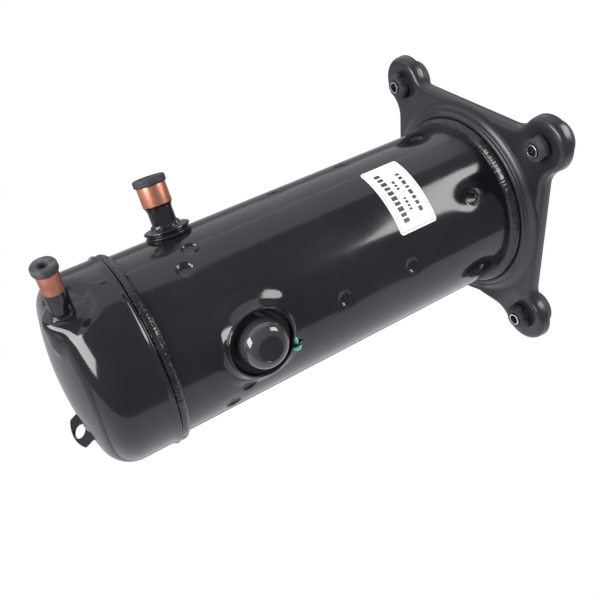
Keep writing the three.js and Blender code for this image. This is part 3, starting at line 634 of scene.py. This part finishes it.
def build_base_plate():
    points, faces = [], []

    def add_rings(rings, flat_loop):
        """Adds one ring of points for each (size, height), with faces from each ring to the next."""
        for k, (size, z) in enumerate(rings):
            loop = flat_loop(size)
            if k:
                faces.extend(band(len(points) - len(loop), len(points), len(loop)))
            points.extend((x, y, z) for x, y in loop)

    section = plate_section()
    add_rings(section, plate_outline)

    # The collar climbs to the shell in two rounded steps, then returns under the sheet.
    collar = [(104.0, 0), (101.6, 0.15), (99.8, 0.6), (98.3, 1.4), (97.1, 2.2), (96.0, 2.7), (94.9, 2.85),
              (93.9, 2.95), (93.2, 3.3), (92.7, 4.0), (92.2, 4.8), (91.5, 5.4), (90.5, 5.75), (89.4, 5.8),
              (88.6, 5.6), (88.0, 5.0), (85.2, 4.4), (85.2, 1.0), (88.5, 0.6), (92.5, -2.6),
              (97.5, -PLATE_SHEET)]
    collar_sides, hole_sides = 160, 40
    add_rings([(r, PLATE_TOP + rise) for r, rise in collar], lambda r: circle_points(r, collar_sides))

    underside = PLATE_TOP - PLATE_SHEET
    feet = [(sx * FOOT, sy * FOOT) for sx, sy in ((1, 1), (-1, 1), (-1, -1), (1, -1))]
    wall = [(FOOT_HOLE_R + 0.7, PLATE_TOP), (FOOT_HOLE_R + 0.2, PLATE_TOP - 0.25),
            (FOOT_HOLE_R, PLATE_TOP - 0.8), (FOOT_HOLE_R, underside + 0.4), (FOOT_HOLE_R + 0.4, underside)]
    for foot in feet:
        add_rings(wall, lambda r: circle_points(r, hole_sides, foot))

    for z, end in ((PLATE_TOP, 0), (underside, -1)):
        loops = [plate_outline(section[end][0]), circle_points(collar[end][0], collar_sides)]
        loops += [circle_points(wall[end][0], hole_sides, foot) for foot in feet]
        add_sheet(points, faces, loops, z, loops[1:])
    mesh = mesh_from("base_plate_pressing", points, faces)
    finish_piece("base_plate_pressing", mesh, PLATE_PAINT, "shell_paint", replaces=("base_plate",),
                 sharp=50)


def add_sheet(points, faces, loops, z, gaps):
    """A flat sheet bounded by the first loop, with the other loops as edges and the gaps left open."""
    flat, edges = [], []
    for loop in loops:
        first = len(flat)
        flat += [Vector(p) for p in loop]
        edges += [(first + i, first + (i + 1) % len(loop)) for i in range(len(loop))]
    made, _, triangles, *_ = delaunay_2d_cdt(flat, edges, [], 0, 1e-5)
    start = len(points)
    points.extend((p.x, p.y, z) for p in made)
    for triangle in triangles:
        centre = sum((made[i] for i in triangle), Vector((0, 0))) / 3
        if inside(centre, loops[0]) and not any(inside(centre, gap) for gap in gaps):
            faces.append(tuple(start + i for i in triangle))


def inside(point, loop):
    """Whether a flat point is inside a closed loop, by counting the edges to its right."""
    odd = False
    for (ax, ay), (bx, by) in zip(loop, loop[1:] + loop[:1]):
        if (ay > point.y) != (by > point.y) and point.x < (bx - ax) * (point.y - ay) / (by - ay) + ax:
            odd = not odd
    return odd


# ---------------------------------------------------------------- feet

def build_feet():
    top = PLATE_TOP - PLATE_SHEET
    knob = PLATE_TOP
    grommet = [
        (6.7, 0.0, 0.4), (17.6, 0.0, 1.2), (18.6, 0.8, 0.8), (20.0, 6.0, 1.0), (20.3, 15.2, 0.8),
        (19.7, 17.4, 0.8), (18.3, top - 0.4, 1.2), (16.6, top - 0.2, 0.6), (15.4, top - 1.4, 0.6),
        (12.6, top - 1.4, 0.8), (11.6, top - 0.3, 0.5), (9.6, top - 0.3, 0.3), (9.6, knob + 0.3, 0.3),
        (12.2, knob + 0.4, 0.6), (13.6, knob + 3.0, 1.5), (13.0, knob + 6.8, 2.6), (9.6, knob + 9.6, 2.0),
        (7.2, knob + 9.8, 0.5), (6.7, knob + 9.2, 0.3),
    ]

    def crown(angle, r, z):
        """The knob is cut away on two sides, so that it goes through the plate's hole."""
        if z < knob + 0.35 or r < 9:
            return r, z
        side = abs(math.cos(angle))
        cutaway = smooth_step((side - 0.72) / 0.2) * (1 - smooth_step((z - knob - 6.0) / 3.0))
        return r - cutaway * min(3.2, r - 9.4), z + cutaway * 0.8

    def seam(angle, r, z):
        """A rolled tube's seam, a narrow groove down one side."""
        near = abs(angle % (2 * math.pi) - math.pi)
        return r - 0.25 * math.exp(-(near / 0.06) ** 2) * (r > 5), z

    sleeve = [(4.5, 0.0, 0.35), (6.2, 0.0, 0.5), (6.2, 35.0, 0.5), (4.5, 35.0, 0.35)]
    for i, (sx, sy) in enumerate(((1, 1), (-1, 1), (-1, -1), (1, -1)), 1):
        spin = Matrix.Rotation(math.radians(45 + 90 * i), 4, "Z")
        place = Matrix.Translation((sx * FOOT, sy * FOOT, 0)) @ spin
        turned(f"foot_{i}", RUBBER, "rubber", grommet, 80, place, crown,
               replaces=(f"grommet_{i}",), sharp=45)
        turned(f"spacer_tube_{i}", ZINC, "zinc", sleeve, 96, place, seam, body=f"spacer_{i}",
               replaces=(f"sleeve_{i}",), sharp=40)


# ---------------------------------------------------------------- lifting lug

def build_lug():
    out = outward(LUG_AZIMUTH)
    tilt = math.radians(LUG_TILT)
    way = out * math.cos(tilt) + UP * math.sin(tilt)
    along = UP.cross(out)
    normal = along.cross(way)
    place = out * LUG_ROOT_R + UP * LUG_ROOT_Z
    root, straight, bulge = -3.2, 11.8, 5.0
    end_r = (LUG_HALF_WIDTH ** 2 + bulge ** 2) / (2 * bulge)
    end_angle = math.asin(LUG_HALF_WIDTH / end_r) * 0.97
    side = [(LUG_HALF_WIDTH, root), (LUG_HALF_WIDTH, 4), (LUG_HALF_WIDTH, straight - 1)]
    end = arc_points((0, straight + bulge - end_r), end_r, math.pi / 2 - end_angle,
                     math.pi / 2 + end_angle, 20)
    outline = side + end + [(-x, y) for x, y in side[::-1]]
    middle, eye = Vector((0, straight / 2)), Vector((0, LUG_HOLE_HEIGHT))
    hole = arc_points((0, LUG_HOLE_HEIGHT), LUG_HOLE_R, 2 * math.pi, 2 * math.pi / 40, 39)
    half = LUG_SHEET / 2
    layers = [(-half, 0.5), (-half + 0.5, 0), (half - 0.5, 0), (half, 0.5)]
    points, faces, loops = [], [], []
    for depth, bevel in layers:
        edge = [tuple(bevelled(p, middle, bevel)) for p in outline]
        rim = [tuple(eye + (Vector(p) - eye) * (1 + bevel / LUG_HOLE_R)) for p in hole]
        loops.append((edge, rim))
        points += [(x, y, depth) for x, y in edge + rim]
    block = len(outline) + len(hole)
    for k in range(len(layers) - 1):
        for first, count in ((k * block, len(outline)), (k * block + len(outline), len(hole))):
            faces += band(first, first + block, count)
    for k in (0, -1):
        # The gap is a hair inside the hole's edge, so the thin facets along that edge stay.
        gap = [tuple(eye + (Vector(p) - eye) * 0.99) for p in loops[k][1]]
        add_sheet(points, faces, loops[k], layers[k][0], [gap])
    basis = Matrix((along, way, normal)).transposed().to_4x4()
    basis.translation = place
    finish_piece("lifting_eye", mesh_from("lifting_eye", points, faces, basis), PAINT, "shell_paint",
                 replaces=("lifting_lug",), sharp=35)
    for name, x in (("lug_weld_a", -1), ("lug_weld_b", 1)):
        path = []
        for i in range(25):
            t = i / 24
            lift = 0.4 + 0.3 * noise.noise(Vector((t * 14, x, 0)))
            beside = (t - 0.5) * 2 * LUG_HALF_WIDTH
            root_spot = place + along * beside + way * (lift - cap_drop(beside))
            path.append(root_spot + normal * x * (half + 0.2))
        bead_tube(name, path, 1.9)


def bevelled(point, middle, bevel):
    """A flat point drawn in towards the middle by a bevel."""
    ray = Vector(point) - middle
    return middle + ray * (1 - bevel / ray.length)


def cap_drop(along_mm):
    """How far the round cap falls away beside the lug's middle."""
    return (LUG_ROOT_R - math.sqrt(LUG_ROOT_R ** 2 - along_mm ** 2)) * 0.62


def bead_tube(name, path, radius, sides=12):
    """A round weld bead along a path, closed at both ends."""
    points, faces = [], []
    last = len(path) - 1
    across = (path[1] - path[0]).orthogonal()
    for i, point in enumerate(path):
        ahead = (path[min(i + 1, last)] - path[max(i - 1, 0)]).normalized()
        across = (across - ahead * across.dot(ahead)).normalized()
        other = ahead.cross(across)
        swell = radius * (1 + 0.14 * math.sin(i * 2.1)) * (0.55 if i in (0, last) else 1)
        points += [tuple(point + across * x + other * y) for x, y in circle_points(swell, sides)]
        if i:
            faces += band((i - 1) * sides, i * sides, sides)
    faces += [tuple(range(sides)), tuple(range(last * sides, (last + 1) * sides))]
    finish_piece(name, mesh_from(name, points, faces), WELD_PAINT, "shell_paint", sharp=60)


# ---------------------------------------------------------------- suction and discharge

def build_suction():
    place = radial_matrix(SUCTION_AZIMUTH, SUCTION_Z)

    def solder(angle, r, z):
        """The brazed fillet round the tube is lumpy; the rest of the flange is not."""
        if z < 87.4 or r > 17:
            return r, z
        lump = noise.noise(Vector((math.cos(angle) * 2.2, math.sin(angle) * 2.2, z * 0.3)))
        return r + lump * 1.1, z + lump * 0.9

    flange = [
        (11.1, 79.5, 0), (19.0, 79.8, 0.5), (20.0, 81.6, 0.7), (20.0, 83.0, 0.7), (18.2, 83.9, 0.5),
        (17.9, 84.5, 0.3), (19.2, 85.0, 0.5), (20.3, 86.0, 0.8), (20.1, 87.4, 0.8), (18.4, 88.1, 0.6),
        (15.6, 88.2, 0.8), (13.2, 89.0, 1.5), (11.9, 91.4, 0.6), (11.1, 91.9, 0.1),
    ]
    turned("suction_boss", PAINT, "shell_paint", flange, 128, place, solder,
           replaces=("suction_flange",))
    pipe = [(8.9, 74, 0), (10.8, 74, 0), (10.8, 104.0, 4), (11.6, 106.6, 1.5), (12.7, 108.4, 0.3),
            (11.0, 108.5, 0), (8.9, 105.0, 0)]
    turned("suction_pipe", PAINT, "shell_paint", pipe, 96, place, replaces=("suction_tube",))
    stub = [(11.15, 108.6, 0), (12.75, 108.6, 0.1), (12.7, 125.7, 0.4), (11.15, 125.7, 0.2)]
    turned("suction_stub", COPPER, "copper", stub, 96, place, dented(0.07, 5),
           replaces=("suction_copper_stub",))
    plug = [
        (3.8, 110, 0.4), (10.9, 110, 0.8), (10.9, 126, 0.1), (13.9, 125.9, 0.4), (14.3, 127.0, 0.5),
        (14.25, 131.0, 0.8), (13.4, 132.0, 0.5), (9.6, 132.0, 0.5), (8.6, 130.8, 0.4), (4.0, 130.4, 0.6),
        (2.6, 129.4, 0.4), (0, 129.2, 0), (0, 126, 0), (3.8, 125.4, 0.3),
    ]
    turned("suction_stopper", RUBBER, "rubber", plug, 96, place, dented(0.12, 4),
           body="suction_cap", replaces=("suction_plug",), sharp=45)


def dented(amount, frequency):
    """A wobble that leaves a turned piece slightly uneven, as a handled tube or a moulding is."""
    def move(angle, r, z):
        if r < 1:
            return r, z
        spot = Vector((math.cos(angle) * 1.6, math.sin(angle) * 1.6, z * 0.05 * frequency))
        return r + amount * noise.noise(spot), z
    return move


def build_discharge():
    place = along_matrix(DISCHARGE_BASE, DISCHARGE_WAY)
    pipe = [(7.2, -16, 0), (9, -16, 0), (9, 22.3, 0.2), (7.2, 22.3, 0)]
    turned("discharge_pipe", PAINT, "shell_paint", pipe, 96, place, replaces=("discharge_tube",))
    stub = [(7.2, 22.4, 0), (8.75, 22.4, 0.1), (8.7, 40.4, 0.4), (7.2, 40.4, 0.2)]
    turned("discharge_stub", COPPER, "copper", stub, 96, place, dented(0.08, 6),
           replaces=("discharge_copper_stub",))
    plug = [
        (3.8, 26, 0.4), (7.0, 26, 0.6), (7.0, 40.6, 0.1), (10.0, 40.5, 0.5), (10.5, 41.8, 0.5),
        (10.4, 45.4, 0.9), (9.6, 46.6, 0.5), (5.2, 46.7, 0.6), (4.1, 46.0, 0.5), (4.0, 42.4, 0.5),
        (0, 42.2, 0), (0, 38, 0), (3.8, 38, 0.3),
    ]
    turned("discharge_stopper", CHALKY_RUBBER, "rubber", plug, 96, place, dented(0.35, 5),
           body="discharge_cap", replaces=("discharge_plug",), sharp=45)

    ring = [(9.0, 2.2, 0), (9.9, 2.2, 0.4), (10.6, 1.6, 0.5), (11.0, 0.9, 0.3), (11.9, 0.3, 0.3),
            (13.0, -0.3, 0), (9.0, -1.2, 0)]

    def flow(angle, r, z):
        """The braze is a little thicker on some sides of the tube than on others."""
        lump = noise.noise(Vector((math.cos(angle) * 1.7, math.sin(angle) * 1.7, 4.0)))
        return r + lump * 0.5 * (r > 9.5), z + lump * 0.3 * (z > 0)

    turned("discharge_weld", WELD_PAINT, "shell_paint", ring, 96, place, flow, sharp=70)


# ---------------------------------------------------------------- electrical terminal

def build_terminal():
    place = radial_matrix(TERMINAL_AZIMUTH, TERMINAL_Z)
    fence = [
        (20.6, 84.0, 0.2), (20.6, 79.0, 0), (39.4, 76.0, 0), (39.8, 80.6, 0), (37.4, 81.2, 0),
        (35.4, 81.9, 0), (33.6, 82.7, 0), (32.1, 83.7, 0), (31.0, 84.9, 0), (30.3, 86.2, 0),
        (30.0, 87.4, 0), (29.8, 88.6, 0.4), (29.2, 89.2, 0.4), (28.2, 89.1, 0.3), (27.6, 88.2, 0.5),
        (27.2, 85.4, 0.6), (25.6, 84.6, 0.5),
    ]

    def saddle(angle, r, z):
        """The fence's foot flares out, and reaches lower where the round shell falls away."""
        across = min(r * abs(math.cos(angle)), SHELL_R)
        drop = SHELL_R - math.sqrt(SHELL_R ** 2 - across ** 2)
        share = smooth_step((r - 29.8) / 7.0) * 0.8
        unevenness = 0.25 * noise.noise(Vector((math.cos(angle) * 3, math.sin(angle) * 3, z * 0.4)))
        return r + unevenness * (r > 25), z - drop * share

    turned("terminal_fence_ring", PAINT, "shell_paint", fence, 160, place, saddle, 6,
           replaces=("terminal_fence",))
    header = [
        (0, 74, 0), (17.8, 74, 1.2), (18.6, 83.6, 0.4), (21.4, 84.2, 0.3), (21.4, 84.9, 0.3),
        (16.6, 84.9, 1.2), (16.2, 77.0, 1.2), (0, 76.6, 0),
    ]
    turned("terminal_cup", PAINT, "shell_paint", header, 96, place, replaces=("terminal_header",),
           sharp=45)
    flat_r, side_r, side_z, crown_z = 10.8, 20.1, 93.4, 104.0
    cover = [(17.6, 85.4, 0.3), (side_r, 85.4, 0.4)]
    for i in range(19):
        turn = math.pi / 2 * i / 18
        bulge_r = flat_r + (side_r - flat_r) * math.cos(turn)
        cover.append((bulge_r, side_z + (crown_z - side_z) * math.sin(turn), 0))
    cover += [(10.6, 103.8, 0.1), (0, 103.8, 0), (0, 101.5, 0), (10.4, 101.5, 0.5), (13.9, 100, 1.5),
              (16.5, 96.6, 2.0), (17.6, 92.6, 1.0)]
    piece = turned("terminal_dome", GLOSS_PLASTIC, "cover_plastic", cover, 160, place, None, 8,
                   body="cover", replaces=("terminal_cover",), sharp=40)
    piece.data.materials.append(MATTE_PLASTIC)
    inverse = to_metres(place).inverted()
    for face in piece.data.polygons:
        local = (inverse @ face.center) / MM
        if local.z > 103.6 and math.hypot(local.x, local.y) < 10.7:
            face.material_index = 1

    # The earthing tab stands on edge below the fence; its screw goes across it.
    tab_x = -15.3
    outline = rounded([(83.2, 22.2, 0), (91.4, 22.2, 0), (91.4, 28.6, 3.5), (90.2, 34.4, 4.0),
                       (85.4, 35.2, 2.5), (83.6, 33.0, 1.0)], 6)
    points, faces = [], []
    layers = [(-1.0, 0.3), (-0.7, 0.0), (0.7, 0.0), (1.0, 0.3)]
    middle, count = Vector((87.3, 28.6)), len(outline)
    for k, (depth, bevel) in enumerate(layers):
        moved = [bevelled(p, middle, bevel) for p in outline]
        points += [(tab_x + depth, -p.y, p.x) for p in moved]
        if k:
            faces += band((k - 1) * count, k * count, count)
    faces += [tuple(range(count)), tuple(range(len(points) - count, len(points)))]
    finish_piece("earth_tab", mesh_from("earth_tab", points, faces, place), PAINT, "shell_paint",
                 replaces=("ground_tab",), sharp=35)

    screw_place = place @ Matrix.Translation((tab_x, -28.4, 87.6)) @ Matrix.Rotation(math.pi / 2, 4, "Y")
    threads = []
    for i in range(5):
        threads += [(2.0, 1.3 + i * 0.8, 0), (2.5, 1.7 + i * 0.8, 0)]
    head = [(0, -5.2, 0), (3.0, -5.2, 0.6), (3.6, -4.4, 0.4), (3.6, -2.4, 0.2), (4.6, -2.2, 0.3),
            (4.6, -1.2, 0.2), (2.2, -1.1, 0)]
    screw = head + threads + [(2.0, 5.3, 0.2), (1.2, 5.9, 0.2), (0, 5.9, 0)]

    def hexagon(angle, r, z):
        """The head's sides are flat, over a round flange."""
        if z > -2.3 or r < 2:
            return r, z
        sixth = math.pi / 3
        lean = (angle + sixth / 2) % sixth - sixth / 2
        return min(r, r * 0.93 / math.cos(lean) * 0.97), z

    turned("earth_screw", MINT, "screw_finish", screw, 72, screw_place, hexagon, 3,
           replaces=("ground_screw",), sharp=30)


# ---------------------------------------------------------------- label

def curved_strip(name, azimuths, heights, radius, thickness, corner=0.0, columns=40):
    """A thin film that follows the shell, with round corners."""
    mm_per_degree = 2 * math.pi * SHELL_R / 360
    width = (azimuths[1] - azimuths[0]) * mm_per_degree
    height = heights[1] - heights[0]
    corner = min(corner, width / 2.01, height / 2.01)
    points, faces = [], []
    for i in range(columns + 1):
        t = i / columns
        if corner > 0:
            t = 0.5 - 0.5 * math.cos(math.pi * t)
        across = width * t
        edge = min(across, width - across)
        trim = corner - math.sqrt(max(0.0, corner ** 2 - (corner - edge) ** 2)) if edge < corner else 0.0
        angle = math.radians(azimuths[0]) + across / SHELL_R
        for r in (radius, radius + thickness):
            for z in (heights[0] + trim, heights[1] - trim):
                points.append((r * math.cos(angle), r * math.sin(angle), z))
    for i in range(columns):
        a, b = i * 4, (i + 1) * 4
        faces += [(a + 2, b + 2, b + 3, a + 3), (a, a + 1, b + 1, b)]
        faces += [(a, b, b + 2, a + 2), (a + 1, a + 3, b + 3, b + 1)]
    last = columns * 4
    faces += [(0, 2, 3, 1), (last, last + 1, last + 3, last + 2)]
    return mesh_from(name, points, faces)


def build_label():
    film, ink = 0.22, 0.06
    base_r = SHELL_R + 0.12
    mesh = curved_strip("label_sheet", LABEL_AZIMUTHS, LABEL_Z, base_r, film, corner=3.0, columns=64)
    finish_piece("label_sheet", mesh, LABEL, "label", replaces=("rating_label",), sharp=50)
    ink_r = base_r + film - 0.02
    margin_z, line_z, margin_a, line_a = 2.0, 0.3, 1.4, 0.22
    a0, a1 = LABEL_AZIMUTHS[0] + margin_a, LABEL_AZIMUTHS[1] - margin_a
    z0, z1 = LABEL_Z[0] + margin_z, LABEL_Z[1] - margin_z
    strips = [((a0, a1), (z0, z0 + line_z)), ((a0, a1), (z1 - line_z, z1)),
              ((a0, a0 + line_a), (z0, z1)), ((a1 - line_a, a1), (z0, z1))]
    # Plain bars of different lengths stand where printed lines would be; they spell nothing.
    random.seed(7)
    for row_z, row_height, start, end, bar_range, gap in (
            (142.0, 6.0, 41, 78, (2.2, 3.6), 1.2), (134.2, 3.0, 47, 56, (1.4, 2.6), 0.9),
            (134.2, 3.0, 62, 70, (1.4, 2.6), 0.9), (124.6, 4.0, 44, 75, (1.6, 3.4), 1.3)):
        here = start
        while here < end:
            bar = random.uniform(*bar_range)
            strips.append(((here, min(here + bar, end)), (row_z, row_z + row_height)))
            here += bar + gap
    for i, (azimuths, heights) in enumerate(strips):
        columns = max(2, int(azimuths[1] - azimuths[0]))
        mesh = curved_strip(f"label_print_{i}", azimuths, heights, ink_r, ink, columns=columns)
        finish_piece(f"label_print_{i}", mesh, INK, "label", sharp=50)


# ---------------------------------------------------------------- pieces carried over from the frame

INNER_LOOKS = {
    "cast_iron": CAST_IRON, "steel": STEEL, "lamination": LAMINATION, "aluminium": ALUMINIUM,
    "bronze": BRONZE, "winding": WINDING, "block_plastic": MATTE_PLASTIC, "seal_plastic": SEAL_POLYMER,
    "zinc": ZINC, "shell_paint": PAINT,
}


def dress_frame_nodes():
    """Gives every CAD node that stays its own finished material."""
    for entry in frame["record"]["subparts"]:
        node = frame["nodes"][entry["node"]]
        look = INNER_LOOKS.get(entry["material_slot"])
        if look:
            node.data.materials.clear()
            node.data.materials.append(look)


# ---------------------------------------------------------------- camera, floor and light

def build_camera():
    """The camera looks at the compressor as if it lay on its side, so it is rolled well over."""
    right = Vector((0.5426, -0.0934, -0.8348)).normalized()
    down = Vector((0.4808, -0.7804, 0.3998)).normalized()
    ahead = right.cross(down)
    data = bpy.data.cameras.new("camera")
    data.lens = 45.99
    data.sensor_width = 36
    data.clip_start, data.clip_end = 0.01, 60
    camera = bpy.data.objects.new("camera", data)
    turn = Matrix((right, -down, -ahead)).transposed().to_4x4()
    camera.matrix_world = Matrix.Translation(Vector((506.6, 424.9, 505.6)) * MM) @ turn
    bpy.context.scene.collection.objects.link(camera)
    bpy.context.scene.camera = camera


def soft_light(name, centre, facing, size, radiance, edge, tint=(1, 1, 1)):
    """A rectangular soft light that the camera doesn't see, with one side along `edge`."""
    facing = Vector(facing).normalized()
    across = (-facing).cross(Vector(edge)).normalized()
    along = across.cross(-facing)
    data = bpy.data.lights.new(name, "AREA")
    data.shape = "RECTANGLE"
    data.size, data.size_y = size
    data.energy = radiance * size[0] * size[1] * math.pi
    data.color = tint
    lamp = bpy.data.objects.new(name, data)
    turn = Matrix((along, across, -facing)).transposed().to_4x4()
    lamp.matrix_world = Matrix.Translation(Vector(centre)) @ turn
    lamp.visible_camera = False
    bpy.context.scene.collection.objects.link(lamp)


def build_stage():
    bpy.ops.mesh.primitive_plane_add(size=40, location=(0, 0, 0))
    floor = bpy.context.object
    floor.name = "floor"
    pale = bpy.data.materials.new("pale_floor")
    pale.use_nodes = True
    shader = pale.node_tree.nodes["Principled BSDF"]
    put(shader, {"Base Color": (0.03, 0.03, 0.03, 1), "Roughness": 0.9, "Specular IOR Level": 0.0,
                 "Emission Color": (1, 1, 1, 1), "Emission Strength": 0.99})
    floor.data.materials.append(pale)
    floor.visible_glossy = False
    floor.visible_diffuse = False
    floor.visible_shadow = False

    world = bpy.data.worlds.new("studio")
    world.use_nodes = True
    bpy.context.scene.world = world
    nodes, links = world.node_tree.nodes, world.node_tree.links
    seen = nodes["Background"]
    put(seen, {"Color": (1, 1, 1, 1), "Strength": 1.0})
    dim = nodes.new("ShaderNodeBackground")
    put(dim, {"Color": (0.93, 0.92, 1.0, 1), "Strength": 0.34})
    path = nodes.new("ShaderNodeLightPath")
    mix = nodes.new("ShaderNodeMixShader")
    links.new(path.outputs["Is Camera Ray"], mix.inputs["Fac"])
    links.new(dim.outputs["Background"], mix.inputs[1])
    links.new(seen.outputs["Background"], mix.inputs[2])
    links.new(mix.outputs["Shader"], nodes["World Output"].inputs["Surface"])
    bpy.context.scene.view_settings.view_transform = "Standard"


def build_lights():
    """Soft boxes beyond both ends of the compressor, and pale cards beside and behind it.

    `up` is the side that would face the ceiling if the compressor lay on its side, as `front` faces
    the viewer; the light is set out for that view and goes round the upright compressor unchanged.
    """
    up = Vector((0.19, 0.98, 0.014)).normalized()
    front = Vector((up.y, -up.x, 0)).normalized()
    centre = Vector((0, 0, 0.22))
    cool = (0.94, 0.935, 1.0)
    table = centre - up * 0.146
    soft_light("side_card", table + front * 0.35, up, (2.8, 0.61), 0.82, UP, cool)
    soft_light("under_card", table - front * 0.255, up, (2.8, 0.58), 0.25, UP, cool)
    box_distance = 1.1
    cap_way = Vector((0.055, 0.46, 0.88)).normalized()
    base_way = Vector((0.44, 0.56, -0.69)).normalized()
    soft_light("cap_softbox", centre + cap_way * box_distance, -cap_way, (0.92, 0.46), 11, front)
    soft_light("base_softbox", centre + base_way * box_distance, -base_way, (0.60, 0.48), 9, front)
    behind, above = centre - front * 1.1 + up * 0.40, centre - front * 0.8 + up * 1.1
    soft_light("back_card", behind, front - up * 0.3, (2.4, 0.8), 0.7, UP, cool)
    soft_light("high_card", above, front * 0.6 - up, (2.4, 0.9), 0.8, UP, cool)


build_camera()
build_stage()
build_lights()
dress_frame_nodes()
build_shell()
build_caps()
build_welds()
build_base_plate()
build_feet()
build_lug()
build_suction()
build_discharge()
build_terminal()
build_label()
